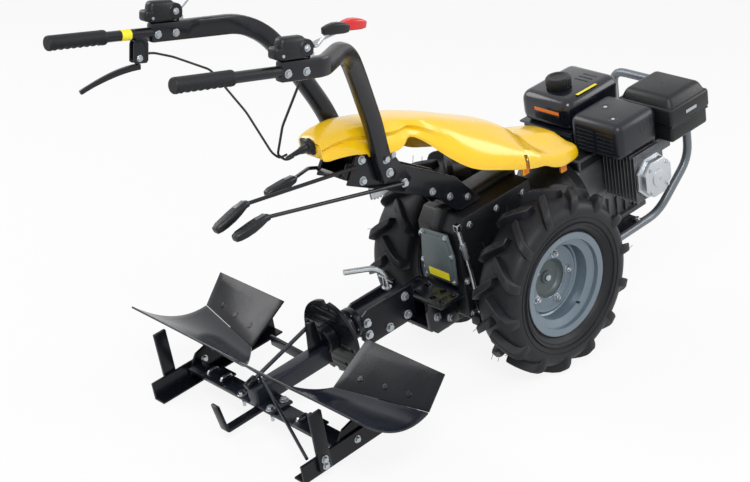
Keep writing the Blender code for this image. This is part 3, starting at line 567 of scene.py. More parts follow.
@dataclass
class Workshop:
    """Puts finished pieces in the scene, on the frame.

    Attributes:
        origin: the middle of the wheel axle.
        pitch: how far the machine is tipped back.
        nodes: the CAD nodes by name.
        group: the shared weathering group.
        materials: the materials made so far.
    """

    origin: Vector
    pitch: float
    nodes: dict[str, bpy.types.Object]
    group: bpy.types.NodeTree
    materials: dict[str, bpy.types.Material] = field(default_factory=dict)

    @property
    def matrix(self) -> Matrix:
        """From the level frame to the row frame."""
        return Matrix.Translation(self.origin) @ Matrix.Rotation(-self.pitch, 4, "Y")

    def span(self, node: str) -> tuple[Vector, Vector]:
        """Lowest and highest corner of a CAD node in the level frame.

        Args:
            node: the CAD node's name.

        Returns:
            The lowest and the highest corner.
        """
        back = self.matrix.inverted()
        points = [back @ vert.co for vert in self.nodes[node].data.vertices]
        low = Vector([min(point[k] for point in points) for k in range(3)])
        high = Vector([max(point[k] for point in points) for k in range(3)])
        return low, high

    def material(self, finish: Finish) -> bpy.types.Material:
        """The material of a finish, made once.

        Args:
            finish: the finish.

        Returns:
            The material.
        """
        if finish.name not in self.materials:
            self.materials[finish.name] = finish.build(self.group)
        return self.materials[finish.name]

    def place(self, piece: Piece, body: Body, *nodes: str) -> bpy.types.Object:
        """Put a piece on its body in place of the CAD nodes that it stands for.

        Args:
            piece: the finished piece.
            body: what it rides on.
            nodes: the nodes that it replaces.

        Returns:
            The new object.
        """
        mesh = bpy.data.meshes.new(piece.name)
        piece.work.to_mesh(mesh)
        piece.work.free()
        for finish in piece.finishes:
            mesh.materials.append(self.material(finish))
        mesh.transform(self.matrix)
        mesh.shade_smooth()
        mesh.set_sharp_from_angle(angle=SMOOTH_ANGLE)
        obj = bpy.data.objects.new(piece.name, mesh)
        bpy.context.scene.collection.objects.link(obj)
        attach(obj, body.value)
        if nodes:
            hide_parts(*nodes)
        LOG.info("%s on %s: %d faces", piece.name, body.value, len(mesh.polygons))
        return obj

    def dress(self, node: str, finish: Finish) -> None:
        """Give a CAD node that keeps its own shape a finish.

        Args:
            node: the CAD node's name.
            finish: the finish.
        """
        mesh = self.nodes[node].data
        mesh.materials.clear()
        mesh.materials.append(self.material(finish))
        LOG.info("%s keeps its shape", node)


# ------------------------------------------------------------------ wheels

@dataclass
class Wheel:
    """A field tyre with chevron bars on a dished rim, and its drive hub.

    Attributes:
        side: 1 for the left wheel, -1 for the right.
        middle: the wheel's middle plane, from the machine's.
        lugs: bars on each half of the tread.
        bead: radius of the bead seat.
        disc: the rim disc's place, inboard of the middle plane.
    """

    side: int
    middle: float
    lugs: int = 14
    bead: float = 0.1275
    disc: float = 0.012
    bolts: int = 5
    bolt_circle: float = 0.068

    @property
    def label(self) -> str:
        """The side's name."""
        return "left" if self.side > 0 else "right"

    @property
    def body(self) -> Body:
        """The body that the wheel turns with."""
        return Body.LEFT_WHEEL if self.side > 0 else Body.RIGHT_WHEEL

    def at(self, radius: float, turn: float, out: float) -> Vector:
        """A point of the wheel: turn from the top, forwards, and out from its middle plane."""
        return Vector((radius * math.sin(turn), self.side * (self.middle + out),
                       radius * math.cos(turn)))

    def carcass(self, piece: Piece) -> None:
        """Add the tyre's casing, without its bars.

        Args:
            piece: the piece that takes it.
        """
        outer = [(0.1285, 0.0448), (0.1450, 0.0455), (0.1500, 0.0510), (0.1560, 0.0575),
                 (0.1600, 0.0590), (0.1620, 0.0580), (0.1650, 0.0600), (0.1750, 0.0632),
                 (0.1900, 0.0650), (0.2050, 0.0640), (0.2160, 0.0590), (0.2235, 0.0480),
                 (0.2268, 0.0320), (0.2280, 0.0150), (0.2283, 0.0)]
        inner = [(0.2180, 0.0), (0.2170, 0.0380), (0.2050, 0.0540), (0.1750, 0.0540),
                 (0.1500, 0.0380), (0.1285, 0.0360)]
        right = outer + [(radius, -out) for radius, out in reversed(outer[:-1])]
        back = [(radius, -out) for radius, out in reversed(inner)] + inner[1:]
        piece.turned(right + back, (0.0, self.side * self.middle, 0.0), Axis.Y.value, 96,
                     closed=True)

    def lug(self, piece: Piece, start: float, half: int) -> None:
        """Add one bar, from the middle of the tread down to the sidewall.

        Args:
            piece: the tyre.
            start: the turn at which its inner end stands.
            half: 1 for the outer half of the tread, -1 for the inner half.
        """
        # radius and place across of the bar's top and of its foot, and how far it trails
        stations = (
            (0.2496, -0.006, 0.2250, -0.008, 0.000), (0.2498, 0.008, 0.2250, 0.006, 0.045),
            (0.2496, 0.024, 0.2240, 0.022, 0.100), (0.2484, 0.040, 0.2215, 0.037, 0.155),
            (0.2450, 0.054, 0.2170, 0.048, 0.205), (0.2370, 0.0632, 0.2100, 0.055, 0.235),
            (0.2230, 0.0670, 0.2020, 0.058, 0.248), (0.2020, 0.0668, 0.1930, 0.061, 0.252),
        )
        rows = []
        for index, (top, out_top, foot, out_foot, trail) in enumerate(stations):
            flare = 0.0 if index else 0.010
            wide, narrow = 0.076 - flare, 0.050 - flare
            turn = start - trail
            rows.append([
                piece.work.verts.new(self.at(foot, turn - wide, half * out_foot)),
                piece.work.verts.new(self.at(top, turn - narrow, half * out_top)),
                piece.work.verts.new(self.at(top, turn + narrow, half * out_top)),
                piece.work.verts.new(self.at(foot, turn + wide, half * out_foot)),
            ])
        for first, second in zip(rows, rows[1:]):
            for k in range(4):
                piece.work.faces.new((first[k], first[(k + 1) % 4], second[(k + 1) % 4],
                                      second[k]))
        piece.work.faces.new(rows[0])
        piece.work.faces.new(rows[-1])
        piece.seal([vert for row in rows for vert in row], 0.0022, 1, 0)

    def whiskers(self, piece: Piece) -> None:
        """Add the thin moulding whiskers that stand on the bars, clear of the floor.

        Args:
            piece: the piece that takes it.
        """
        for index in range(self.lugs):
            for half in (1, -1):
                turn = 2.0 * math.pi * (index + 0.25 * (1 - half)) / self.lugs
                if math.cos(turn) < -0.5:
                    continue
                bend = 0.05 * math.sin(7.0 * index + half)
                length = 0.014 + 0.005 * math.sin(3.0 * index + 2.0 * half)
                for out in (0.018, 0.046):
                    foot = self.at(0.2460, turn - 0.10 - out, half * out)
                    tip = self.at(0.2460 + length, turn - 0.10 - out + bend, half * (out + 0.003))
                    piece.tube((foot, foot.lerp(tip, 0.5), tip), 0.0007, 5, reach=0.002)

    def tyre(self, shop: Workshop) -> None:
        """Build the tyre.

        Args:
            shop: the workshop.
        """
        piece = Piece(f"tyre_{self.label}_lugged", [TYRE])
        self.carcass(piece)
        for index in range(self.lugs):
            start = 2.0 * math.pi * index / self.lugs
            self.lug(piece, start, 1)
            self.lug(piece, start + math.pi / self.lugs, -1)
        for radius in (0.1700, 0.1850):
            piece.turned(((radius - 0.0012, 0.0625), (radius, 0.0662), (radius + 0.0012, 0.0625)),
                         (0.0, self.side * self.middle, 0.0), Axis.Y.value * self.side, 96)
        self.whiskers(piece)
        shop.place(piece, self.body, f"tyre_{self.label}")

    def rim(self, shop: Workshop) -> None:
        """Build the rim with its dished disc, bolts and valve.

        Args:
            shop: the workshop.
        """
        piece = Piece(f"rim_{self.label}_dished", [RIM, ZINC, TYRE])
        seat, half, sheet = self.bead - 0.0006, 0.050, 0.004
        lip, well = self.bead + 0.015, self.bead - 0.0206
        profile = [
            (lip - 0.001, half), (lip, half - 0.0018), (lip - 0.0008, half - 0.0038),
            (seat + 0.002, half - 0.0040), (seat, half - 0.006), (seat, 0.034), (well + 0.002, 0.026),
            (well, 0.023), (well, -0.023), (well + 0.002, -0.026), (seat, -0.034),
            (seat, 0.006 - half), (seat + 0.002, 0.0040 - half), (lip - 0.0008, 0.0038 - half),
            (lip, 0.0018 - half), (lip - 0.001, -half), (lip - 0.004, -half), (seat - 0.003, 0.002 - half),
            (seat - sheet, -0.036), (well - sheet, -0.027), (well - sheet, -0.0165), (0.098, -0.0150),
            (0.091, -0.0110), (0.084, -0.0140), (0.055, -0.0140), (0.054, -0.0130), (0.054, -0.0110),
            (0.055, -0.0100), (0.085, -0.0100), (0.092, -0.0070), (0.099, -0.0110),
            (well - sheet, -0.0080), (well - sheet, 0.027), (seat - sheet, 0.036),
            (seat - 0.003, half - 0.002), (lip - 0.004, half),
        ]
        way = Axis.Y.value * self.side
        middle = (0.0, self.side * self.middle, 0.0)
        piece.turned(profile, middle, way, 72, closed=True)
        for index in range(self.bolts):
            turn = 2.0 * math.pi * (index + 0.3) / self.bolts
            piece.bolt(self.at(self.bolt_circle, turn, -self.disc + 0.002), way, 0.0085, 1)
            piece.turned(((0.0, 0.006), (0.0045, 0.006), (0.0045, 0.013), (0.0, 0.014)),
                         self.at(self.bolt_circle, turn, -self.disc + 0.002), way, 10, 1)
        foot = self.at(0.112, 2.6, 0.010)
        stem = self.at(0.100, 2.6, 0.036)
        piece.tube((foot, foot.lerp(stem, 0.4), stem), 0.0032, 10, 2, reach=0.006)
        shop.place(piece, self.body, f"rim_{self.label}")

    def hub(self, shop: Workshop) -> None:
        """Build the drive hub behind the disc, its nose in the disc's hole.

        Args:
            shop: the workshop.
        """
        piece = Piece(f"hub_{self.label}_flanged", [HUB_GREY, ZINC])
        face = -self.disc - 0.0023
        way = Axis.Y.value * self.side
        profile = [(0.0, face - 0.006), (0.016, face - 0.006), (0.018, face - 0.012),
                   (0.046, face - 0.012), (0.050, face - 0.008), (0.052, face), (0.076, face),
                   (0.078, face - 0.002), (0.078, face - 0.008),
                   (0.074, face - 0.010), (0.056, face - 0.018), (0.036, face - 0.030),
                   (0.036, -0.0494), (0.0, -0.0494)]
        piece.turned(profile, (0.0, self.side * self.middle, 0.0), way, 48)
        piece.bolt(self.at(0.0, 0.0, face - 0.0064), way, 0.010, 1, washer=False)
        shop.place(piece, self.body, f"hub_{self.label}")

    def build(self, shop: Workshop) -> None:
        """Build the whole wheel.

        Args:
            shop: the workshop.
        """
        self.tyre(shop)
        self.rim(shop)
        self.hub(shop)


# ------------------------------------------------------------------ gearbox and hitch

@dataclass
class Driveline:
    """Gearbox, axle housings, clutch bell and hitch."""

    half: float = 0.075
    rear: float = -0.205
    housing_end: float = 0.150
    crank: float = 0.070

    def case(self, shop: Workshop) -> None:
        """Build the gearbox casting with its split flange, ribs and bolts.

        Args:
            shop: the workshop.
        """
        piece = Piece("gearbox_casting", [CAST_BLACK, ZINC, CASTING])
        low, high = shop.span("gearbox_case")
        low.z = max(low.z, -0.100)
        rear, front, foot, top = low.x, high.x, low.z, high.z
        outline = [(rear, foot + 0.03), (rear + 0.04, foot), (front - 0.04, foot),
                   (front, foot + 0.04), (front, top), (rear + 0.03, top), (rear, top - 0.04)]
        inset = 0.012
        middle = Vector(((rear + front) / 2.0, (foot + top) / 2.0))
        inner = [tuple(middle + (Vector(point) - middle) * 0.93) for point in outline]
        piece.prism(inner, -self.half, self.half, Axis.Y, 0.006)
        piece.prism(outline, -inset, inset, Axis.Y, 0.002)
        for side in (1, -1):
            for x in (-0.17, -0.11, 0.04):
                piece.block((x - 0.004, side * 0.060 - 0.012, foot + 0.05),
                            (x + 0.004, side * 0.060 + 0.012, top - 0.03), 0.002)
            for x, z in ((-0.18, -0.05), (-0.185, 0.05), (-0.185, 0.15), (-0.15, 0.20), (-0.05, 0.20),
                         (0.05, 0.20), (0.06, 0.10), (0.06, 0.0), (0.02, -0.07), (-0.08, -0.075)):
                piece.bolt((x, side * (self.half - 0.0005), z), (0, side, 0), 0.0075, 1)
        piece.block((-0.187, -self.half - 0.028, -0.083), (-0.153, -self.half + 0.005, -0.053), 0.003)
        piece.block((-0.150, -0.050, top - 0.004), (-0.078, 0.050, top - 0.0002), 0.001)
        shop.place(piece, Body.TRACTOR, "gearbox_case")

    def cover(self, shop: Workshop) -> None:
        """Build the rear cover with its bolts and a bare label.

        Args:
            shop: the workshop.
        """
        piece = Piece("gearbox_rear_cover", [HUB_GREY, ZINC, LEMON])
        low, high = shop.span("gearbox_cover")
        outline = [(-0.062, 0.045), (0.048, 0.045), (0.058, 0.09), (0.045, 0.185), (-0.050, 0.190),
                   (-0.066, 0.13)]
        piece.prism(outline, low.x + 0.004, high.x, Axis.X, 0.002)
        inner = [(0.85 * y - 0.001, 0.118 + 0.85 * (z - 0.118)) for y, z in outline]
        piece.prism(inner, low.x, low.x + 0.005, Axis.X, 0.0015)
        for y, z in ((-0.056, 0.052), (0.042, 0.051), (0.051, 0.092), (0.040, 0.178),
                     (-0.046, 0.183), (-0.059, 0.130)):
            piece.bolt((low.x + 0.0041, y, z), (-1, 0, 0), 0.0055, 1)
        piece.block((low.x - 0.0006, -0.045, 0.056), (low.x + 0.0004, 0.030, 0.078), 0.0002, 1, 2)
        shop.place(piece, Body.TRACTOR, "gearbox_cover")

    def housings(self, shop: Workshop) -> None:
        """Build the axle housings with their bolted flanges.

        Args:
            shop: the workshop.
        """
        for label, side in (("left", 1), ("right", -1)):
            piece = Piece(f"axle_housing_{label}_cast", [CASTING, ZINC])
            inner, out = self.half + 0.0003, self.housing_end
            profile = [(0.0, inner), (0.062, inner), (0.062, inner + 0.012), (0.058, inner + 0.016),
                       (0.043, inner + 0.022), (0.039, inner + 0.030), (0.039, out - 0.010),
                       (0.037, out - 0.010), (0.037, out), (0.0, out)]
            piece.turned(profile, (0, 0, 0), Axis.Y.value * side, 40)
            for u, v in ring(0.052, 6, start=0.3):
                piece.bolt((u, side * (inner + 0.0155), v), (0, side, 0), 0.0055, 1)
            shop.place(piece, Body.TRACTOR, f"axle_housing_{label}")

    def bell(self, shop: Workshop) -> None:
        """Build the clutch bell between gearbox and engine.

        Args:
            shop: the workshop.
        """
        piece = Piece("clutch_bell_ribbed", [CAST_BLACK, ZINC])
        low, high = shop.span("clutch_bell")
        profile = [(0.0, high.x), (0.126, high.x), (0.130, high.x - 0.003), (0.130, high.x - 0.030),
                   (0.126, high.x - 0.035), (0.112, high.x - 0.050), (0.088, low.x + 0.030),
                   (0.086, low.x + 0.010), (0.088, low.x), (0.0, low.x)]
        piece.turned(profile, (0.0, 0.0, self.crank), Axis.X.value, 48)
        for y, z in ring(0.1225, 8, start=0.2):
            piece.bolt((high.x - 0.0335, y * 0.98, self.crank + z * 0.98), (-1, 0, 0), 0.006, 1)
        shop.place(piece, Body.TRACTOR, "clutch_bell")

    def hitch(self, shop: Workshop) -> None:
        """Build the hitch jaw, its drilled plate and the link at its right.

        Args:
            shop: the workshop.
        """
        piece = Piece("hitch_jaw_drilled", [PAINT, ZINC])
        low, high = shop.span("hitch_jaw")
        front, rear = high.x, low.x
        foot, top = low.z, 0.030
        for y in (-0.045, 0.051):
            piece.prism(((rear, foot + 0.02), (rear + 0.02, foot), (front, foot), (front, top),
                         (rear, top)), y, y + 0.014, Axis.Y, 0.0015)
        piece.block((front - 0.016, -0.040, foot + 0.002), (front, 0.060, top), 0.002)
        piece.block((rear + 0.004, -0.040, foot + 0.010), (front - 0.01, 0.060, foot + 0.022), 0.002)
        edge = self.rear - 0.014
        outline = [(edge - 0.085, -0.095), (edge, -0.095), (edge, 0.075), (edge - 0.085, 0.075)]
        holes = [(edge - x, y, 0.009) for x, y in ((0.022, -0.076), (0.060, -0.076), (0.022, -0.040),
                                                   (0.060, -0.040), (0.022, 0.020), (0.060, 0.020),
                                                   (0.022, 0.056), (0.060, 0.056))]
        piece.prism(outline, 0.0285, 0.0360, Axis.Z, 0.0012, holes=holes)
        for x, z in ((-0.235, -0.045), (-0.235, 0.005), (-0.280, -0.020)):
            piece.bolt((x, 0.065, z), (0, 1, 0), 0.009, 1)
            piece.bolt((x, -0.045, z), (0, -1, 0), 0.009, 1)
        shop.place(piece, Body.TRACTOR, "hitch_jaw")
        y = -self.half - 0.014
        rod = Piece("link_rod_threaded", [ZINC, PAINT])
        rod.tube(((-0.205, y, 0.225), (-0.178, y, 0.060), (-0.170, y, -0.0518)), 0.0058, 12, 0)
        rod.tube(((-0.196, y, 0.172), (-0.188, y, 0.122)), 0.0078, 6, 0)
        rod.tube(((-0.174, y, 0.006), (-0.1705, y, -0.040)), 0.0078, 6, 1)
        rod.block((-0.213, y - 0.008, 0.212), (-0.197, y + 0.008, 0.232), 0.003, 2, 1)
        shop.place(rod, Body.TRACTOR, "link_rod")

    def build(self, shop: Workshop) -> None:
        """Build the whole driveline.

        Args:
            shop: the workshop.
        """
        self.case(shop)
        self.cover(shop)
        self.housings(shop)
        self.bell(shop)
        self.hitch(shop)


# ------------------------------------------------------------------ engine

@dataclass
class Engine:
    """The engine and the covers round it, sized from their CAD nodes."""

    crank: float = 0.070
    middle: float = 0.005

    def block(self, shop: Workshop) -> None:
        """Build the crankcase with its ribs, side cover and feet.

        Args:
            shop: the workshop.
        """
        piece = Piece("engine_crankcase", [ALLOY, CAST_BLACK, ZINC])
        low, high = shop.span("engine_block")
        piece.block((low.x, low.y + 0.008, low.z + 0.012), (high.x, high.y - 0.008, high.z - 0.030),
                    0.010, 3)
        piece.block((low.x + 0.020, low.y, low.z), (high.x - 0.020, high.y, low.z + 0.014), 0.003)
        piece.block((low.x + 0.010, low.y + 0.012, high.z - 0.034), (high.x - 0.006, high.y, high.z),
                    0.006, 2, 1)
        for side, y in ((1, high.y - 0.008), (-1, low.y + 0.008)):
            for step in range(7):
                x = low.x + 0.035 + step * 0.034
                piece.block((x - 0.0025, min(y, y + side * 0.007), low.z + 0.020),
                            (x + 0.0025, max(y, y + side * 0.007), low.z + 0.085), 0.001, 1)
        piece.turned(((0.0, 0.0), (0.070, 0.0), (0.070, 0.006), (0.062, 0.0075), (0.0, 0.0075)),
                     (low.x + 0.12, high.y - 0.008, self.crank), Axis.Y.value, 36)
        for u, v in ring(0.062, 7, low.x + 0.12, self.crank, 0.3):
            piece.bolt((u, high.y - 0.0022, v), (0, 1, 0), 0.0048, 2, washer=False)
        for x in (low.x + 0.035, high.x - 0.035):
            for y in (low.y + 0.012, high.y - 0.012):
                piece.bolt((x, y, low.z + 0.0135), (0, 0, 1), 0.007, 2)
        piece.tube(((high.x - 0.055, low.y + 0.012, low.z + 0.045),
                    (high.x - 0.055, low.y + 0.001, low.z + 0.052)), 0.0105, 14, 1)
        shop.place(piece, Body.TRACTOR, "engine_block")

    def starter(self, shop: Workshop) -> None:
        """Build the recoil starter with its slots and pull grip.

        Args:
            shop: the workshop.
        """
        piece = Piece("recoil_starter_slotted", [PLASTIC, ZINC, PAINT])
        low, high = shop.span("recoil_starter")
        rear, front = low.x, high.x
        profile = [(0.0, front), (0.030, front), (0.034, front - 0.002), (0.060, front - 0.004),
                   (0.072, front - 0.010), (0.100, front - 0.018), (0.109, front - 0.026),
                   (0.112, front - 0.036), (0.112, rear), (0.0, rear)]
        piece.turned(profile, (0.0, self.middle, self.crank), Axis.X.value, 48)
        for step in range(24):
            turn = 2.0 * math.pi * step / 24.0
            u, v = math.cos(turn), math.sin(turn)
            inner = Vector((front - 0.0028, self.middle + 0.040 * u, self.crank + 0.040 * v))
            outer = Vector((front - 0.0035, self.middle + 0.057 * u, self.crank + 0.057 * v))
            piece.tube((inner, outer), 0.0022, 6, 2)
        for y, z in ring(0.104, 4, start=math.pi / 4.0):
            piece.bolt((front - 0.0215, self.middle + y, self.crank + z), (1, 0, 0), 0.0055, 1)
        piece.tube(((front - 0.030, self.middle + 0.085, self.crank + 0.060),
                    (front - 0.006, self.middle + 0.085, self.crank + 0.060)), 0.010, 14, 0)
        piece.tube(((front - 0.006, self.middle + 0.068, self.crank + 0.060),
                    (front - 0.006, self.middle + 0.102, self.crank + 0.060)), 0.006, 12, 0)
        shop.place(piece, Body.TRACTOR, "recoil_starter")

    def head(self, shop: Workshop) -> None:
        """Build the finned cylinder, its head and the eight-sided valve cover.

        Args:
            shop: the workshop.
        """
        piece = Piece("cylinder_finned", [ALLOY, ZINC])
        low, high = shop.span("cylinder_head")
        piece.block((low.x + 0.014, low.y, low.z + 0.014), (high.x - 0.014, high.y, high.z - 0.014),
                    0.006)
        count = 10
        for step in range(count):
            y = low.y + 0.004 + step * (high.y - low.y - 0.008) / (count - 1)
            piece.block((low.x, y - 0.0015, low.z), (high.x, y + 0.0015, high.z), 0.0008, 1)
        for z in (low.z + 0.008, high.z - 0.008):
            for x in (low.x + 0.010, high.x - 0.010):
                piece.tube(((x, low.y + 0.002, z), (x, high.y - 0.004, z)), 0.005, 10)
        shop.place(piece, Body.TRACTOR, "cylinder_head")
        cover = Piece("valve_cover_pressed", [POLISHED, ZINC])
        low, high = shop.span("valve_cover")
        u, v = (low.x + high.x) / 2.0, (low.z + high.z) / 2.0
        wide = (high.x - low.x) / 2.0 / math.cos(math.pi / 8.0)
        cover.prism(ring(wide, 8, u, v, math.pi / 8.0), high.y - 0.008, high.y, Axis.Y, 0.002)
        cover.prism(ring(wide - 0.006, 8, u, v, math.pi / 8.0), low.y + 0.006, high.y - 0.007,
                    Axis.Y, 0.005)
        cover.turned(((0.0, 0.009), (0.018, 0.009), (0.022, 0.007), (0.026, 0.0065), (0.028, 0.0)),
                     (u, low.y + 0.0095, v), -Axis.Y.value, 32)
        cover.bolt((u, low.y + 0.0035, v), (0, -1, 0), 0.006, 1, washer=False)
        for a, b in ring(wide - 0.016, 4, u, v, math.pi / 4.0):
            cover.bolt((a, low.y + 0.0065, b), (0, -1, 0), 0.0045, 1)
        shop.place(cover, Body.TRACTOR, "valve_cover")

    def tank(self, shop: Workshop) -> None:
        """Build the fuel tank with its seam, its stickers left blank, and the ridged cap.

        Args:
            shop: the workshop.
        """
        piece = Piece("fuel_tank_pressed", [TANK, ORANGE, PAINT, LEMON])
        low, high = shop.span("fuel_tank")
        seam = high.z - 0.094
        piece.block((low.x + 0.004, low.y + 0.004, seam), (high.x - 0.004, high.y - 0.004, high.z),
                    0.030, 6)
        piece.block((low.x, low.y, seam - 0.003), (high.x, high.y, seam + 0.003), 0.0025, 2)
        piece.block((low.x + 0.005, low.y + 0.005, low.z), (high.x - 0.005, high.y - 0.005, seam),
                    0.012, 3, top=(1.0, 1.0))
        for step in range(3):
            x = low.x + 0.135 + 0.018 * step
            piece.block((x, low.y + 0.045, high.z - 0.0020), (x + 0.009, high.y - 0.095, high.z + 0.0),
                        0.0009, 1, 2)
        piece.block((low.x + 0.0034, low.y + 0.040, high.z - 0.046),
                    (low.x + 0.0046, low.y + 0.130, high.z - 0.036), 0.0002, 1, 1)
        piece.block((low.x + 0.0034, low.y + 0.040, high.z - 0.070),
                    (low.x + 0.0046, low.y + 0.130, high.z - 0.048), 0.0002, 1, 2)
        piece.block((low.x + 0.060, low.y + 0.014, high.z - 0.0006),
                    (low.x + 0.140, low.y + 0.024, high.z), 0.0001, 1, 3)
        shop.place(piece, Body.TRACTOR, "fuel_tank")
        cap = Piece("fuel_cap_ridged", [PLASTIC])
        low, high = shop.span("fuel_cap")
        u, v = (low.x + high.x) / 2.0, (low.y + high.y) / 2.0
        wide = (high.x - low.x) / 2.0
        outline = []
        for step in range(72):
            turn = 2.0 * math.pi * step / 72.0
            radius = wide - (0.0016 if step % 3 == 0 else 0.0)
            outline.append((u + radius * math.cos(turn), v + radius * math.sin(turn)))
        cap.prism(outline, low.z + 0.004, high.z - 0.005, Axis.Z, 0.0006)
        cap.turned(((0.0, 0.0), (wide - 0.004, 0.0), (wide - 0.004, 0.005)), (u, v, low.z),
                   Axis.Z.value, 40)
        cap.turned(((wide - 0.0025, -0.006), (wide - 0.004, -0.001), (wide - 0.010, 0.0),
                    (wide - 0.014, -0.001), (wide - 0.016, -0.003), (0.0, -0.003)),
                   (u, v, high.z), Axis.Z.value, 40)
        shop.place(cap, Body.TRACTOR, "fuel_cap")

    def shield(self, shop: Workshop) -> None:
        """Build the exhaust shield with its louvres and recessed screws.

        Args:
            shop: the workshop.
        """
        piece = Piece("muffler_shield_louvred", [HEAT, ZINC, PAINT])
        low, high = shop.span("muffler_shield")
        piece.block(low, high, 0.024, 5)
        for column in range(2):
            for row in range(6):
                y = low.y + 0.022 + column * 0.068
                z = low.z + 0.014 + row * 0.0115
                piece.block((low.x - 0.0012, y, z), (low.x + 0.006, y + 0.058, z + 0.0042), 0.0015,
                            2, 0)
                piece.block((low.x - 0.0003, y + 0.002, z - 0.0035),
                            (low.x + 0.004, y + 0.056, z - 0.0002), 0.0004, 1, 2)
        for x, y in ((low.x + 0.040, low.y + 0.050), (low.x + 0.088, low.y + 0.118)):
            piece.turned(((0.016, -0.0006), (0.014, 0.0006), (0.011, 0.0), (0.008, -0.003),
                          (0.0, -0.003)), (x, y, high.z), Axis.Z.value, 28)
            piece.bolt((x, y, high.z - 0.0032), (0, 0, 1), 0.0055, 1, washer=False)
        for row in range(4):
            x = high.x - 0.030 - row * 0.016
            piece.block((x, low.y - 0.0006, high.z - 0.050), (x + 0.006, low.y + 0.003, high.z - 0.022),
                        0.0008, 1, 2)
        shop.place(piece, Body.TRACTOR, "muffler_shield")

    def intake(self, shop: Workshop) -> None:
        """Build the carburettor and the air cleaner over it.

        Args:
            shop: the workshop.
        """
        piece = Piece("carburettor_cast", [ALLOY, ZINC])
        low, high = shop.span("carburettor")
        piece.block((low.x + 0.006, low.y + 0.02, low.z + 0.045), (high.x - 0.006, high.y, high.z),
                    0.005)
        middle = (low + high) / 2.0
        piece.turned(((0.0, 0.0), (0.020, 0.0), (0.022, 0.004), (0.022, 0.040), (0.018, 0.046)),
                     (middle.x, middle.y, low.z), Axis.Z.value, 28)
        piece.bolt((middle.x, middle.y, low.z + 0.0005), (0, 0, -1), 0.006, 1, washer=False)
        piece.block((low.x, low.y, high.z - 0.04), (high.x, low.y + 0.008, high.z), 0.003)
        shop.place(piece, Body.TRACTOR, "carburettor")
        box = Piece("air_cleaner_lidded", [PLASTIC, ZINC, PAINT])
        low, high = shop.span("air_cleaner")
        split = low.z + 0.048
        box.block((low.x + 0.006, low.y + 0.006, low.z), (high.x - 0.006, high.y - 0.006, split),
                  0.008, 3)
        box.block((low.x + 0.003, low.y + 0.003, split - 0.004), (high.x - 0.003, high.y - 0.003,
                  split + 0.002), 0.0015, 1)
        box.block((low.x, low.y, split + 0.002), (high.x, high.y, high.z - 0.028), 0.008, 3)
        box.block((low.x, low.y, high.z - 0.040), (high.x, high.y, high.z), 0.014, 4, top=(0.80, 0.80))
        u, v = (low.x + high.x) / 2.0, (low.y + high.y) / 2.0
        box.turned(((0.024, -0.001), (0.022, 0.0), (0.019, -0.001), (0.017, -0.005), (0.0, -0.006)),
                   (u, v, high.z), Axis.Z.value, 32, 0)
        box.turned(((0.0, 0.006), (0.005, 0.006), (0.007, 0.0), (0.0, 0.0)),
                   (u, v, high.z - 0.006), Axis.Z.value, 14, 2)
        box.block((u - 0.013, v - 0.002, high.z - 0.006), (u + 0.013, v + 0.002, high.z - 0.0002),
                  0.0015, 2, 2)
        box.block((u - 0.020, low.y - 0.0006, split + 0.020), (u + 0.026, low.y + 0.001, split + 0.030),
                  0.0004, 1, 1)
        shop.place(box, Body.TRACTOR, "air_cleaner")

    def guard(self, shop: Workshop) -> None:
        """Build the bent guard tube and its bracket.

        Args:
            shop: the workshop.
        """
        tube = Piece("engine_guard_bent", [GUARD_AND_HIGHLIGHT, PAINT])
        low, high = shop.span("engine_guard")
        radius = 0.0125
        half = (high.y - low.y) / 2.0 - radius
        foot, top, front = low.z + radius, high.z - radius, high.x - radius
        rear = low.x
        route = [(rear, -half, foot), (0.520, -half, foot), (front, -half, foot + 0.110),
                 (front, -half, top), (front, half, top), (front, half, foot + 0.110),
                 (0.520, half, foot), (rear, half, foot)]
        tube.tube(route, radius, 18, 0, 0.045)
        shop.place(tube, Body.TRACTOR, "engine_guard")
        plate = Piece("guard_bracket_bolted", [PAINT, ZINC])
        low, high = shop.span("guard_bracket")
        plate.block(low, high, 0.0015, 2)
        for y in (low.y + 0.011, high.y - 0.011):
            plate.bolt((high.x - 0.012, y, high.z), (0, 0, 1), 0.007, 1)
        shop.place(plate, Body.TRACTOR, "guard_bracket")

    def build(self, shop: Workshop) -> None:
        """Build the whole engine.

        Args:
            shop: the workshop.
        """
        self.block(shop)
        self.starter(shop)
        self.head(shop)
        self.tank(shop)
        self.shield(shop)
        self.intake(shop)
        self.guard(shop)


# ------------------------------------------------------------------ hood and column

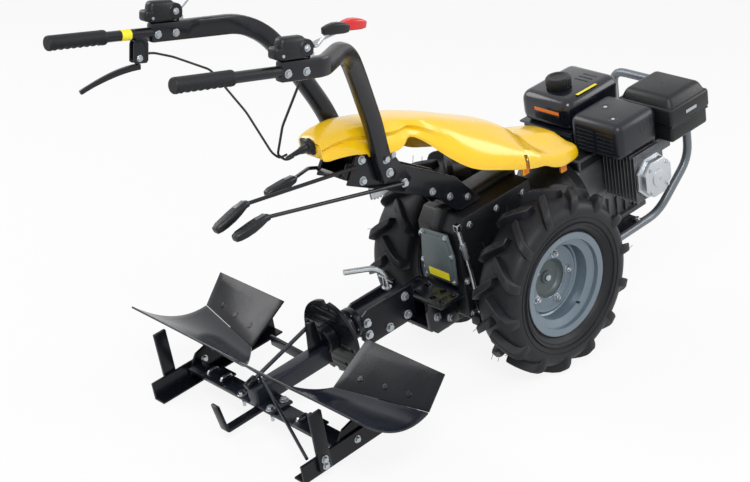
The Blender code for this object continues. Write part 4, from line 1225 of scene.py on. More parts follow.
@dataclass
class Hood:
    """The plastic hood, lofted through rows across it."""

    wall: float = 0.0032
    # x, ridge height, shoulder half-width, lip height, lip half-width
    rows: tuple[tuple[float, float, float, float, float], ...] = (
        (0.236, 0.288, 0.040, 0.252, 0.108), (0.222, 0.298, 0.048, 0.246, 0.124),
        (0.160, 0.322, 0.052, 0.250, 0.137), (0.120, 0.335, 0.054, 0.262, 0.138),
        (0.085, 0.350, 0.056, 0.282, 0.138), (0.050, 0.386, 0.058, 0.292, 0.138),
        (0.000, 0.422, 0.062, 0.310, 0.138), (-0.080, 0.464, 0.064, 0.344, 0.132),
        (-0.130, 0.490, 0.063, 0.366, 0.126), (-0.170, 0.510, 0.062, 0.392, 0.116),
        (-0.210, 0.528, 0.058, 0.432, 0.096), (-0.250, 0.544, 0.055, 0.482, 0.068),
        (-0.285, 0.557, 0.052, 0.508, 0.058), (-0.310, 0.566, 0.050, 0.498, 0.062),
        (-0.340, 0.576, 0.049, 0.494, 0.063), (-0.410, 0.597, 0.047, 0.510, 0.059),
        (-0.450, 0.606, 0.046, 0.532, 0.054), (-0.500, 0.608, 0.044, 0.544, 0.050),
        (-0.532, 0.603, 0.042, 0.548, 0.046), (-0.545, 0.596, 0.038, 0.553, 0.042),
    )
    steps: int = 4

    def row(self, along: float) -> list[float]:
        """Blend the rows smoothly: along counts rows from the front.

        Args:
            along: the place, in rows from the front.

        Returns:
            The row's values.
        """
        index = min(int(along), len(self.rows) - 2)
        share = along - index
        before = self.rows[max(index - 1, 0)]
        first, second = self.rows[index], self.rows[index + 1]
        after = self.rows[min(index + 2, len(self.rows) - 1)]
        values = []
        for a, b, c, d in zip(before, first, second, after):
            values.append(0.5 * (2.0 * b + (c - a) * share + (2.0 * a - 5.0 * b + 4.0 * c - d)
                                 * share ** 2 + (3.0 * (b - c) + d - a) * share ** 3))
        return values

    def section(self, x: float, top: float, shoulder: float, low: float,
                half: float) -> list[Vector]:
        """One row of points across the hood, from its right lip to its left.

        Args:
            x: the section's place.
            top: the ridge's height.
            shoulder: the shoulder's height.
            low: the lip's height.
            half: half the width.

        Returns:
            The points.
        """
        drop = top - low
        # how far the wing flattens out below the shoulder, towards the engine
        wing = max(0.0, min(1.0, (x + 0.06) / 0.16))
        profile = [
            (half, -0.02), (half + 0.001, 0.10 + 0.10 * wing), (half - 0.004, 0.30 + 0.12 * wing),
            (half - 0.012, 0.46 + 0.04 * wing),
            (shoulder + (0.62 - 0.10 * wing) * (half - shoulder), 0.62 - 0.08 * wing),
            (shoulder + 0.28 * (half - shoulder), 0.78 - 0.08 * wing),
            (shoulder * 1.02, 0.885 - 0.02 * wing), (shoulder * 0.86, 0.945), (shoulder * 0.62, 0.972),
            (shoulder * 0.34, 0.992),
        ]
        right = [Vector((x, -y, low + share * drop)) for y, share in profile]
        return right + [Vector((x, 0.0, top))] + [Vector((p.x, -p.y, p.z)) for p in reversed(right)]

    def build(self, shop: Workshop) -> None:
        """Build the hood, its snout and the orange catches under its wing.

        Args:
            shop: the workshop.
        """
        piece = Piece("hood_moulded", [YELLOW, PAINT, ORANGE])
        count = (len(self.rows) - 1) * self.steps
        rows = [self.section(*self.row(step / self.steps)) for step in range(count + 1)]
        piece.sheet(rows, self.wall)
        notch = [face for face in piece.work.faces
                 if face.calc_center_median().y < -0.118 and
                 abs(face.calc_center_median().x - 0.020) < 0.012 and
                 face.calc_center_median().z < 0.335]
        bmesh.ops.delete(piece.work, geom=notch, context="FACES")
        loose = [edge for edge in piece.work.edges if edge.is_boundary]
        bmesh.ops.holes_fill(piece.work, edges=loose, sides=0)
        piece.block((0.008, -0.133, 0.284), (0.030, -0.126, 0.316), 0.002, 2, 2)
        piece.block((0.150, -0.129, 0.226), (0.172, -0.121, 0.256), 0.002, 2, 2)
        piece.turned(((0.0, 0.0), (0.006, 0.0), (0.006, 0.0016), (0.0, 0.0018)),
                     (-0.095, -0.1135, 0.4020), Vector((0.10, -0.80, 0.60)), 18, 1)
        tip = self.rows[-1]
        piece.block((tip[0] - 0.0002, -0.040, tip[3] + 0.002), (tip[0] + 0.004, 0.040, tip[1] - 0.006),
                    0.0015)
        shop.place(piece, Body.TRACTOR, "hood")
        self.caps(shop)

    def caps(self, shop: Workshop) -> None:
        """Build the two black cable caps on the snout.

        Args:
            shop: the workshop.
        """
        piece = Piece("cable_caps", [PLASTIC])
        low, high = shop.span("cable_block")
        u, v, w = high.x, (low.y + high.y) / 2.0, (low.z + high.z) / 2.0
        piece.block((u - 0.010, low.y + 0.002, low.z + 0.002), (u, high.y - 0.002, high.z - 0.002),
                    0.004)
        face = high.x + 0.0004
        for y, z, radius, boot in ((v - 0.004, w + 0.001, 0.0190, 0.0085),
                                   (v + 0.018, w - 0.012, 0.0105, 0.0075)):
            piece.turned(((0.0, 0.0), (radius, 0.0), (radius, -0.006), (radius - 0.0012, -0.008),
                          (radius, -0.010), (radius - 0.002, -0.013), (boot + 0.002, -0.015),
                          (boot, -0.018), (boot - 0.002, -0.040), (0.0035, low.x - face + 0.0004),
                          (0.0, low.x - face + 0.0004)), (face, y, z), Axis.X.value, 32)
        shop.place(piece, Body.TRACTOR, "cable_block")


@dataclass
class Column:
    """The handlebar column: post, bolted cheeks, the toothed sector and its clamp."""

    half: float = 0.052
    plate: float = 0.006

    def build(self, shop: Workshop) -> None:
        """Build the column.

        Args:
            shop: the workshop.
        """
        piece = Piece("handlebar_column_plates", [PAINT, ZINC, CAST_BLACK])
        low = shop.span("handlebar_column")[0]
        foot = low.z
        post = [(-0.163, foot), (-0.077, foot), (-0.150, 0.333), (-0.330, 0.452), (-0.478, 0.517),
                (-0.503, 0.485), (-0.345, 0.377), (-0.215, 0.302)]
        for y in (-self.half + 0.001, self.half - 0.013):
            piece.prism(post, y, y + 0.012, Axis.Y, 0.002)
        piece.block((-0.160, -self.half + 0.002, foot), (-0.082, self.half - 0.002, foot + 0.012),
                    0.003)
        back = [(-0.215, 0.302), (-0.345, 0.377), (-0.503, 0.485), (-0.495, 0.492), (-0.340, 0.387),
                (-0.208, 0.311)]
        piece.prism(back, -self.half + 0.010, self.half - 0.010, Axis.Y, 0.001)
        piece.prism(((-0.425, 0.470), (-0.400, 0.470), (-0.400, 0.585), (-0.425, 0.590)), -0.003, 0.003,
                    Axis.Y, 0.0005)
        cheek = [(-0.500, 0.470), (-0.330, 0.375), (-0.300, 0.400), (-0.355, 0.510), (-0.460, 0.530)]
        for side in (1, -1):
            inner, outer = side * (self.half - 0.001), side * (self.half + self.plate)
            piece.prism(cheek, min(inner, outer), max(inner, outer), Axis.Y, 0.0015)
            for x, z in ((-0.325, 0.398), (-0.350, 0.488), (-0.452, 0.462), (-0.445, 0.515)):
                piece.bolt((x, side * (self.half + self.plate - 0.0004), z), (0, side, 0), 0.0085, 1)
            for x, z in ((-0.235, 0.330), (-0.180, 0.290), (-0.120, 0.262)):
                piece.bolt((x, side * (self.half - 0.0014), z), (0, side, 0), 0.0075, 1)
        # toothed sector across the column's head
        teeth = []
        for step in range(23):
            turn = math.radians(-35.0 + step * 5.0)
            radius = 0.060 if step % 2 else 0.054
            teeth.append((-0.395 + radius * math.sin(turn), 0.440 - radius * math.cos(turn) * 0.9))
        piece.prism(teeth + [(-0.360, 0.455), (-0.430, 0.470)], -0.046, -0.040, Axis.Y, 0.0006, 1)
        shop.place(piece, Body.TRACTOR, "handlebar_column")


# ------------------------------------------------------------------ handlebars

@dataclass
class Handlebars:
    """The two arms with their grips, control housings and levers."""

    front: tuple[float, float] = (-0.874, 0.942)
    slope: float = math.radians(16.0)
    out: float = 0.235
    width: float = 0.026
    depth: float = 0.046
    root: float = 0.0713
    pod: float = 0.152
    pod_length: float = 0.105
    pod_height: float = 0.050

    def along(self, distance: float, lift: float = 0.0, out: float | None = None) -> Vector:
        """A point ahead of the grip's front end on the tube's line, lifted square to it.

        Args:
            distance: ahead of the grip's front end.
            lift: square to the tube.
            out: across the machine.

        Returns:
            The point.
        """
        run, rise = math.cos(self.slope), math.sin(self.slope)
        return Vector((self.front[0] + distance * run + lift * rise,
                       self.out if out is None else out,
                       self.front[1] - distance * rise + lift * run))

    def frame(self, side: int, distance: float, lift: float, out: float = 0.0) -> Matrix:
        """Where a part stands on an arm, turned with the tube: its X runs ahead."""
        place = self.along(distance, lift, side * (self.out + out))
        return Matrix.Translation(place) @ Matrix.Rotation(self.slope, 4, "Y")

    def arm(self, shop: Workshop, label: str, side: int) -> None:
        """Build an arm: bent box section, tube, bolts and cable clips.

        Args:
            shop: the workshop.
            label: left or right.
            side: 1 for left, -1 for right.
        """
        piece = Piece(f"handle_arm_{label}_bent", [PAINT, ZINC, LEMON])
        base = self.root
        route = [Vector(point) for point in (
            (-0.385, base, 0.440), (-0.395, base, 0.500), (-0.418, 0.090, 0.610),
            (-0.468, 0.125, 0.752), (-0.500, 0.150, 0.822), (-0.545, 0.180, 0.862))]
        route += [self.along(0.245), self.along(0.205), self.along(0.120)]
        route = [Vector((p.x, side * p.y, p.z)) for p in route]
        piece.bar(route, self.width, self.depth, 0, reach=0.034, bevel=0.006)
        start = self.along(0.135, 0.0, side * self.out)
        end = self.along(CLEAR, 0.0, side * self.out)
        piece.tube((start, end), 0.0125, 20)
        for distance in (0.136, 0.186):
            spot = self.along(distance, -0.004, side * (self.out + self.width / 2.0 - 0.0004))
            piece.bolt(spot, (0, side, 0), 0.007, 1)
            spot = self.along(distance, -0.004, side * (self.out - self.width / 2.0 + 0.0004))
            piece.bolt(spot, (0, -side, 0), 0.007, 1)
        for x, z in ((-0.388, 0.462), (-0.392, 0.500)):
            piece.bolt((x, side * (base + self.width / 2.0 - 0.0004), z), (0, side, 0), 0.0085, 1)
        if side > 0:
            first, last = self.along(0.040, 0.0), self.along(0.066, 0.0)
            piece.tube((first, last), 0.0129, 24, 2)
        shop.place(piece, Body.TRACTOR, f"handle_arm_{label}")

    def grip(self, shop: Workshop, label: str, side: int) -> None:
        """Build a grip with finger ridges beneath and ribs round it.

        Args:
            shop: the workshop.
            label: left or right.
            side: 1 for left, -1 for right.
        """
        piece = Piece(f"grip_{label}_ridged", [GRIP])
        length, radius, sides = 0.1497, 0.0175, 28
        turn = Matrix.Rotation(self.slope, 4, "Y")
        rows = []
        steps = 75
        for step in range(steps + 1):
            back = length * step / steps
            edge = min(back, length - back)
            size = radius - 0.0022 * math.exp(-edge / 0.0016)
            ridge = 0.0022 * (0.5 - 0.5 * math.cos(2.0 * math.pi * back / 0.0165))
            rib = 0.0006 if step % 3 else 0.0
            if back < 0.010 or length - back < 0.008:
                ridge, rib = 0.0, 0.0
            centre = self.along(-back - 0.0002, 0.0, side * self.out)
            ring_points = []
            for u, v in ring(1.0, sides):
                below = max(0.0, -v)
                reach = size - rib * 0.5 - ridge * below
                ring_points.append(piece.work.verts.new(
                    centre + turn @ Vector((0.0, u * reach, v * reach))))
            rows.append(ring_points)
        for first, second in zip(rows, rows[1:]):
            for k in range(sides):
                piece.work.faces.new((first[k], first[(k + 1) % sides], second[(k + 1) % sides],
                                      second[k]))
        piece.work.faces.new(rows[0])
        piece.work.faces.new(rows[-1])
        piece.seal([vert for row in rows for vert in row], 0.0, 1, 0)
        shop.place(piece, Body.TRACTOR, f"grip_{label}")

    def pods(self, shop: Workshop, label: str, side: int) -> None:
        """Build a control housing with its clamp, pivot and small switch.

        Args:
            shop: the workshop.
            label: left or right.
            side: 1 for left, -1 for right.
        """
        piece = Piece(f"control_pod_{label}_moulded", [PLASTIC, ZINC, PAINT])
        lift = self.depth / 2.0 + 0.0003
        half, tall = self.pod_length / 2.0, self.pod_height
        piece.block((-half + 0.010, -0.017, 0.0), (half - 0.018, 0.017, tall), 0.010, 3,
                    top=(0.86, 0.86))
        piece.block((-half, -0.016, 0.004), (half, 0.016, 0.030), 0.007, 3)
        piece.turned(((0.0, -0.0172), (0.017, -0.0172), (0.019, -0.0150), (0.019, 0.0150),
                      (0.017, 0.0172), (0.0, 0.0172)), (half - 0.022, 0.0, 0.024), Axis.Y.value, 28)
        for way in (1, -1):
            piece.bolt((half - 0.022, way * 0.0160, 0.024), (0, way, 0), 0.006, 1, washer=True)
            piece.turned(((0.0, 0.0), (0.004, 0.0), (0.0035, 0.0012), (0.0, 0.0012)),
                         (-half + 0.020, way * 0.0158, 0.012), Axis.Y.value * way, 12, 1)
        piece.prism(((half - 0.012, 0.000), (half, 0.004), (half, 0.012), (half - 0.012, 0.020)),
                    -0.015, 0.015, Axis.Y, 0.001, 1)
        bmesh.ops.transform(piece.work, matrix=self.frame(side, self.pod, lift),
                            verts=piece.work.verts)
        shop.place(piece, Body.TRACTOR, f"control_pod_{label}")

    def knob(self, shop: Workshop, node: str, finish: Finish, reach: float, wide: float,
             out: float) -> None:
        """Build a lever: a zinc stem from a housing's front and its moulded knob.

        Args:
            shop: the workshop.
            node: the CAD node that it stands for.
            finish: the knob's finish.
            reach: from the housing to the knob's middle.
            wide: the knob's width.
            out: the lever's place across the machine.
        """
        piece = Piece(f"{node}_moulded", [finish, ZINC])
        start = self.pod + self.pod_length / 2.0 + 0.0005
        lift = self.depth / 2.0 + 0.0003 + self.pod_height / 2.0
        rise = 0.0318
        first, bend = self.along(start, lift, out), self.along(start + 0.010, lift, out)
        end = self.along(start + reach - 0.030, lift + rise - 0.008, out)
        piece.tube((first, bend, end), 0.0038, 10, 1, reach=0.006)
        half = wide * 0.62
        sizes = (0.62, 0.86, 1.0, 1.0, 0.92, 0.66)
        places = [self.along(start + reach - 0.0425 + 0.0144 * step,
                             lift + rise - 0.002 + 0.0035 * math.sin(step * 0.62), out)
                  for step in range(6)]
        low, high = 0.0085, 0.0125
        section = ((-half, -low), (-half * 0.7, -high), (half * 0.7, -high), (half, -low),
                   (half, low), (half * 0.7, high), (-half * 0.7, high), (-half, low))
        piece.sweep(places, section, 0, 0.0018, sizes=sizes)
        shop.place(piece, Body.TRACTOR, node)

    def clutch(self, shop: Workshop) -> None:
        """Build the clutch lever under the left grip, its bracket and cable adjuster.

        Args:
            shop: the workshop.
        """
        bracket = Piece("clutch_bracket_folded", [PAINT, ZINC])
        tall, place = 0.044, 0.092
        foot = -self.depth / 2.0 - 0.0003 - tall
        for y in (-0.010, 0.0065):
            bracket.prism(((-0.020, 0.004), (-0.014, 0.0), (0.016, 0.0), (0.020, 0.006),
                           (0.020, tall), (0.014, tall + 0.018), (-0.014, tall + 0.018),
                           (-0.020, tall)), y, y + 0.0035, Axis.Y, 0.0006)
        bracket.block((-0.016, -0.0095, tall + 0.006), (0.016, 0.0095, tall + 0.010), 0.001)
        bracket.block((0.004, -0.0095, 0.012), (0.020, 0.0095, 0.026), 0.002)
        bracket.bolt((-0.004, -0.0098, 0.012), (0, -1, 0), 0.006, 1)
        bmesh.ops.transform(bracket.work, matrix=self.frame(1, place, foot),
                            verts=bracket.work.verts)
        shop.place(bracket, Body.TRACTOR, "clutch_bracket")
        lever = Piece("clutch_lever_curved", [PAINT])
        start = self.along(place + 0.003, foot - 0.0088)
        middle, end = self.along(0.030, foot - 0.010), self.along(-0.065, -0.120)
        route = []
        for step in range(13):
            share = step / 12.0
            route.append(start.lerp(middle, share).lerp(middle.lerp(end, share), share))
        sizes = [0.75 + 0.25 * math.sin(math.pi * min(1.0, 0.35 + 0.75 * step / 12.0))
                 for step in range(13)]
        section = ((-0.006, -0.0072), (0.006, -0.0072), (0.006, 0.0072), (-0.006, 0.0072))
        lever.sweep(route, section, 0, 0.0022, sizes=sizes)
        shop.place(lever, Body.TRACTOR, "clutch_lever")

    def build(self, shop: Workshop) -> None:
        """Build both sides of the handlebars.

        Args:
            shop: the workshop.
        """
        for label, side in (("left", 1), ("right", -1)):
            self.arm(shop, label, side)
            self.grip(shop, label, side)
            self.pods(shop, label, side)
            self.knob(shop, f"throttle_lever_{label}", PLASTIC, 0.065, 0.015,
                      side * (self.out + 0.011))
        self.knob(shop, "stop_lever", RED, 0.130, 0.021, 0.010 - self.out)
        self.clutch(shop)


@dataclass
class Shifters:
    """The three shift rods with their pistol knobs."""

    side: float = 0.0638

    def lever(self, shop: Workshop, label: str, rod: Sequence[Point], end: Point) -> None:
        """Build one rod and its knob, with a painted highlight along the knob's top.

        Args:
            shop: the workshop.
            label: the rod's name.
            rod: its points from its front end.
            end: the knob's rear end.
        """
        piece = Piece(f"shift_lever_{label}_rod", [PAINT, PLASTIC, GUARD_AND_HIGHLIGHT])
        rear, tip = Vector(rod[-1]), Vector(end)
        ahead = (Vector(rod[-2]) - rear).normalized()
        piece.tube([*rod[:-1], rear + ahead * 0.004], 0.0048, 12, 0, reach=0.012)
        run = tip - rear
        drop = Vector((0.0, 0.0, -1.0))
        route = [rear + ahead * 0.012, rear, rear + run * 0.22, rear + run * 0.45 + drop * 0.001,
                 rear + run * 0.68 + drop * 0.001, rear + run * 0.86, tip]
        section = ((-0.0100, -0.0118), (-0.0146, -0.0070), (-0.0146, 0.0070), (-0.0100, 0.0118),
                   (0.0100, 0.0118), (0.0146, 0.0070), (0.0146, -0.0070), (0.0100, -0.0118))
        piece.sweep(route, section, 1, 0.0015, sizes=(0.55, 0.72, 0.92, 1.0, 0.97, 0.90, 0.66))
        # painted highlight: a thin strip of the guard's grey-blue paint along the knob's top stands for
        # the light on its glossy plastic
        piece.bar((rear + Vector((0.0, 0.0, 0.0096)), rear + run * 0.30 + Vector((0.0, 0.0, 0.0113))),
                  0.012, 0.0016, 2, bevel=0.0004)
        shop.place(piece, Body.TRACTOR, f"shift_lever_{label}")

    def build(self, shop: Workshop) -> None:
        """Build the three levers.

        Args:
            shop: the workshop.
        """
        side = self.side
        self.lever(shop, "upper", ((-0.470, -side, 0.508), (-0.790, -0.045, 0.553)),
                   (-0.880, -0.045, 0.528))
        self.lever(shop, "inner", ((-0.478, side, 0.478), (-0.515, side, 0.493),
                                   (-0.620, -0.012, 0.531)), (-0.702, -0.012, 0.529))
        self.lever(shop, "lower", ((-0.335, -side, 0.402), (-0.770, -0.088, 0.522)),
                   (-0.862, -0.088, 0.512))


# ------------------------------------------------------------------ plough

@dataclass
class Plough:
    """The two-way plough: drawbar, swivel and the part that turns over."""

    middle: float = 0.040
    swivel_x: float = -0.560
    swivel_z: float = 0.045
    swivel_radius: float = 0.100
    inner: float = 0.160
    outer: float = 0.430
    flare: float = 0.025
    reach: float = 0.300
    thick: float = 0.005
    lip: tuple[float, float] = (-0.574, 0.100)
    crease: tuple[float, float] = (-0.640, 0.030)
    skew: float = 0.060
    heel: tuple[float, float] = (-0.842, 0.125)
    belly: float = 0.045

    def drawbar(self, shop: Workshop) -> None:
        """Build the drawbar with its side plates and bolts, and the hitch pin.

        Args:
            shop: the workshop.
        """
        piece = Piece("drawbar_plated", [PLOUGH_BLACK, ZINC, STEEL_BLUE])
        low, high = shop.span("drawbar")
        rear = -0.490
        y = self.middle
        for side in (1, -1):
            inner, outer = y + side * 0.025, y + side * 0.035
            piece.prism(((rear, 0.0), (rear + 0.02, low.z), (high.x, low.z), (high.x, high.z),
                         (rear + 0.03, high.z), (rear, 0.060)), min(inner, outer),
                        max(inner, outer), Axis.Y, 0.002)
            for x, z in ((-0.470, 0.010), (-0.470, 0.045), (-0.400, -0.005), (-0.335, 0.000),
                         (-0.335, 0.055)):
                piece.bolt((x, y + side * 0.0346, z), (0, side, 0), 0.0095, 1)
        piece.block((rear + 0.004, y - 0.027, 0.002), (high.x - 0.004, y + 0.027, high.z - 0.012),
                    0.003)
        piece.turned(((0.0, rear + 0.006), (0.040, rear + 0.006), (0.042, rear + 0.002),
                      (0.042, rear - 0.012), (0.034, rear - 0.018), (0.030, rear - 0.030),
                      (0.030, self.swivel_x + 0.0055), (0.0, self.swivel_x + 0.0055)),
                     (0.0, y, self.swivel_z), Axis.X.value, 36)
        for u, v in ring(0.036, 6):
            piece.bolt((rear - 0.0112, y + u, self.swivel_z + v), (-1, 0, 0), 0.0045, 1,
                       washer=False)
        shop.place(piece, Body.TRACTOR, "drawbar")
        pin = Piece("hitch_pin_looped", [ZINC])
        foot = shop.span("hitch_pin")[0].z
        pin.tube(((-0.360, y, foot), (-0.360, y, 0.125), (-0.385, y + 0.010, 0.150),
                  (-0.458, y + 0.039, 0.1645)), 0.0078, 16, 0, reach=0.022)
        pin.turned(((0.0, 0.0), (0.013, 0.0), (0.013, 0.004), (0.0, 0.004)), (-0.360, y, foot + 0.004),
                   Axis.Z.value, 24)
        pin.tube(((-0.350, y - 0.012, foot + 0.020), (-0.372, y - 0.012, foot + 0.045),
                  (-0.372, y + 0.012, foot + 0.045), (-0.350, y + 0.012, foot + 0.020)), 0.0022, 8, 0,
                 reach=0.008)
        shop.place(pin, Body.TRACTOR, "hitch_pin")

    def swivel(self, shop: Workshop) -> None:
        """Build the notched swivel disc.

        Args:
            shop: the workshop.
        """
        piece = Piece("swivel_disc_notched", [PLOUGH_BLACK, ZINC])
        outline = []
        for step in range(120):
            turn = 2.0 * math.pi * step / 120.0
            dip = 0.010 if step in (29, 30, 31, 89, 90, 91) else 0.0
            radius = self.swivel_radius - dip
            outline.append((self.middle + radius * math.cos(turn),
                            self.swivel_z + radius * math.sin(turn)))
        holes = [(self.middle + u, self.swivel_z + v, 0.0055) for u, v in ring(0.082, 8, start=0.2)]
        piece.prism(outline, self.swivel_x - 0.005, self.swivel_x + 0.005, Axis.X, 0.0008,
                    holes=holes)
        for u, v in ring(0.060, 4, start=0.78):
            piece.bolt((self.swivel_x + 0.0046, self.middle + u, self.swivel_z + v), (1, 0, 0),
                       0.007, 1)
        shop.place(piece, Body.TRACTOR, "swivel_disc")

    def beam(self, shop: Workshop) -> None:
        """Build the beam, its collar, the cross bar, its clamps and the latch rod.

        Args:
            shop: the workshop.
        """
        piece = Piece("plough_beam_clamped", [STEEL_BLUE, ZINC, PLOUGH_BLACK])
        low, high = shop.span("plough_beam")
        y, front = self.middle, self.swivel_x - 0.0056
        piece.turned(((0.0, front), (0.034, front), (0.036, front - 0.002), (0.036, front - 0.026),
                      (0.032, front - 0.030), (0.0, front - 0.030)), (0.0, y, self.swivel_z),
                     Axis.X.value, 36, 2)
        top, tall = 0.035, 0.050
        piece.block((low.x, y - 0.020, top - tall), (front - 0.020, y + 0.020, top), 0.005, 3)
        cross_top = top - tall + 0.001
        cross_x = -0.800
        piece.block((cross_x - 0.025, low.y, cross_top - 0.012), (cross_x + 0.025, high.y, cross_top),
                    0.0025, 2)
        # clamp plates over and under the crossing, with their bolts
        piece.block((cross_x - 0.034, y - 0.075, cross_top + 0.0002), (cross_x + 0.034, y - 0.021,
                    cross_top + 0.008), 0.002)
        piece.block((cross_x - 0.034, y + 0.021, cross_top + 0.0002), (cross_x + 0.034, y + 0.075,
                    cross_top + 0.008), 0.002)
        for side in (1, -1):
            for x in (cross_x - 0.022, cross_x + 0.022):
                piece.bolt((x, y + side * 0.056, cross_top + 0.0078), (0, 0, 1), 0.009, 1)
                piece.tube(((x, y + side * 0.056, cross_top - 0.012),
                            (x, y + side * 0.056, cross_top - 0.026)), 0.0045, 10, 1)
            for out in (0.150, 0.205):
                x = cross_x
                piece.tube(((x - 0.016, y + side * out, cross_top - 0.014),
                            (x - 0.016, y + side * out, cross_top + 0.013),
                            (x + 0.016, y + side * out, cross_top + 0.013),
                            (x + 0.016, y + side * out, cross_top - 0.014)), 0.0040, 10, 1, 0.010)
            piece.block((cross_x - 0.030, y + side * 0.180 - 0.034, cross_top + 0.0002),
                        (cross_x + 0.030, y + side * 0.180 + 0.034, cross_top + 0.0065), 0.0015, 2, 0)
        # latch plate behind the disc and its long release rod
        piece.prism(((-0.640, top - 0.002), (-0.596, top - 0.002), (-0.606, 0.110), (-0.632, 0.118)),
                    y - 0.004, y + 0.004, Axis.Y, 0.001, 2)
        piece.tube(((-0.618, y + 0.010, 0.100), (-0.700, y + 0.012, 0.075), (-0.806, y + 0.014, 0.044)),
                   0.0055, 12, 0)
        piece.turned(((0.0, 0.0), (0.010, 0.0), (0.011, 0.002), (0.011, 0.030), (0.009, 0.034),
                      (0.0, 0.034)), (-0.800, y + 0.0138, 0.0455), Vector((-0.95, 0.02, -0.29)), 20, 2)
        # hooked foot behind the cross bar, the turning bar and the braces to the heels
        hook = cross_top - 0.0165
        piece.bar(((cross_x + 0.020, y, hook), (-0.925, y, hook), (-0.938, y, hook + 0.080)), 0.026,
                  0.008, 2, reach=0.006, bevel=0.001)
        piece.prism(((y + 0.015, 0.000), (y + 0.150, 0.008), (y + 0.150, 0.036), (y + 0.015, 0.030)),
                    -0.646, -0.638, Axis.X, 0.001)
        piece.tube(((cross_x + 0.016, y + 0.024, top + 0.004), (cross_x - 0.006, y - 0.040, top),
                    (-0.900, y - 0.284, -0.008)), 0.0042, 10, 0, reach=0.02)
        shop.place(piece, Body.PLOUGH, "plough_beam")

    def crease_x(self, out: float) -> float:
        """Where the crease stands at a place across: it trails towards the middle."""
        return self.crease[0] - self.skew * (self.outer - out) / (self.outer - self.inner)

    def spot(self, side: int, x: float, out: float, z: float) -> Vector:
        """A point of a body, out from the swivel's middle."""
        return Vector((x, self.middle + side * out, z))

    def share(self, shop: Workshop, label: str, side: int) -> None:
        """Build a share: a flat plate with a ground edge and countersunk bolts.

        Args:
            shop: the workshop.
            label: left or right.
            side: 1 for left, -1 for right.
        """
        piece = Piece(f"share_{label}_ground", [PLOUGH_BLACK, ZINC])
        rows = []
        places = [self.inner + (self.outer - self.inner) * k / 12.0 for k in range(13)]
        for step in range(5):
            share = step / 4.0
            z = self.lip[1] + (self.crease[1] - self.lip[1]) * share
            rows.append([self.spot(side, self.lip[0] + (self.crease_x(out) - self.lip[0]) * share,
                                   out, z) for out in places])
        piece.sheet(rows, self.thick, 0, 0.0012)
        for out in (0.215, 0.290, 0.360):
            low = Vector((self.crease_x(out), 0.0, self.crease[1]))
            rise = Vector((self.lip[0], 0.0, self.lip[1])) - low
            place = low + rise * 0.28
            face = Vector((-rise.z, 0.0, rise.x)).normalized()
            piece.turned(((0.0, 0.0), (0.009, 0.0), (0.0075, 0.0014), (0.0, 0.0018)),
                         self.spot(side, place.x, out, place.z), face, 20, 0)
        shop.place(piece, Body.PLOUGH, f"share_{label}")

    def mouldboard(self, shop: Workshop, label: str, side: int) -> None:
        """Build a mouldboard: one curved sheet from the crease to the heel.

        Args:
            shop: the workshop.
            label: left or right.
            side: 1 for left, -1 for right.
        """
        piece = Piece(f"mouldboard_{label}_curved", [STEEL_BLUE, ZINC, PLOUGH_BLACK])
        steps, columns = 18, 16
        rows = []
        for step in range(steps + 1):
            share = step / steps
            sag = 4.0 * share * (1.0 - share)
            z = self.crease[1] + (self.heel[1] - self.crease[1]) * share
            z -= sag * ((self.crease[1] + self.heel[1]) / 2.0 - self.belly)
            near = self.inner + (0.004 - self.inner) * share
            far = self.outer + self.flare * share
            row = []
            for k in range(columns + 1):
                across = k / columns
                start = self.crease_x(self.inner + (self.outer - self.inner) * across)
                x = start + (self.heel[0] - start) * share - 0.0006
                row.append(self.spot(side, x, near + (far - near) * across, z))
            rows.append(row)
        piece.sheet(rows, self.thick, 0, 0.0008)
        shop.place(piece, Body.PLOUGH, f"mouldboard_{label}")

    def body(self, shop: Workshop, label: str, side: int) -> None:
        """Build a landside with its heel post and brace, and the frog inside it.

        Args:
            shop: the workshop.
            label: left or right.
            side: 1 for left, -1 for right.
        """
        landside = Piece(f"landside_{label}_angled", [PLOUGH_BLACK, ZINC, STEEL_BLUE])
        low, high = shop.span(f"landside_{label}")
        foot, rear, front = low.z, low.x, high.x
        out = self.reach
        for first, last, down, up in ((out - 0.008, out, foot, foot + 0.050),
                                      (out - 0.040, out - 0.006, foot, foot + 0.006)):
            a, b = self.middle + side * first, self.middle + side * last
            landside.block((rear, min(a, b), down), (front, max(a, b), up), 0.0015, 1)
        a, b = self.middle + side * (out - 0.0005), self.middle + side * (out + 0.009)
        landside.block((-0.886, min(a, b), foot + 0.010), (-0.850, max(a, b), high.z), 0.0015, 2)
        for z in (foot + 0.022, foot + 0.040):
            place = (-0.868, self.middle + side * (out + 0.0086), z)
            landside.bolt(place, (0, side, 0), 0.0075, 1)
        for x in (-0.760, -0.660, -0.590):
            landside.bolt((x, self.middle + side * (out - 0.0006), foot + 0.028), (0, side, 0), 0.007,
                          1)
        shop.place(landside, Body.PLOUGH, f"landside_{label}")
        frog = Piece(f"frog_{label}_bolted", [PLOUGH_BLACK, ZINC])
        bend = self.crease_x(out - 0.0083)
        run, rise = self.lip[0] - bend, self.lip[1] - self.crease[1]
        drop = (self.thick + 0.0008) * math.hypot(run, rise) / run
        seat = self.crease[1] - self.thick - 0.0045
        front = (-0.590, self.lip[1] - (self.lip[0] + 0.590) * rise / run - drop)
        turn = (bend + 0.006, self.crease[1] + 0.006 * rise / run - drop)
        outline = [(-0.575, foot + 0.012), front, turn, (bend + 0.002, seat), (-0.750, seat),
                   (-0.790, 0.010), (-0.820, foot + 0.030), (-0.820, foot + 0.012)]
        y = self.middle + side * (out - 0.0083 - 0.004)
        frog.prism(outline, y - 0.004, y + 0.004, Axis.Y, 0.001)
        for x, z in ((-0.610, 0.020), (-0.690, -0.010), (-0.770, -0.015)):
            frog.bolt((x, y - side * 0.0036, z), (0, -side, 0), 0.008, 1)
        shop.place(frog, Body.PLOUGH, f"frog_{label}")

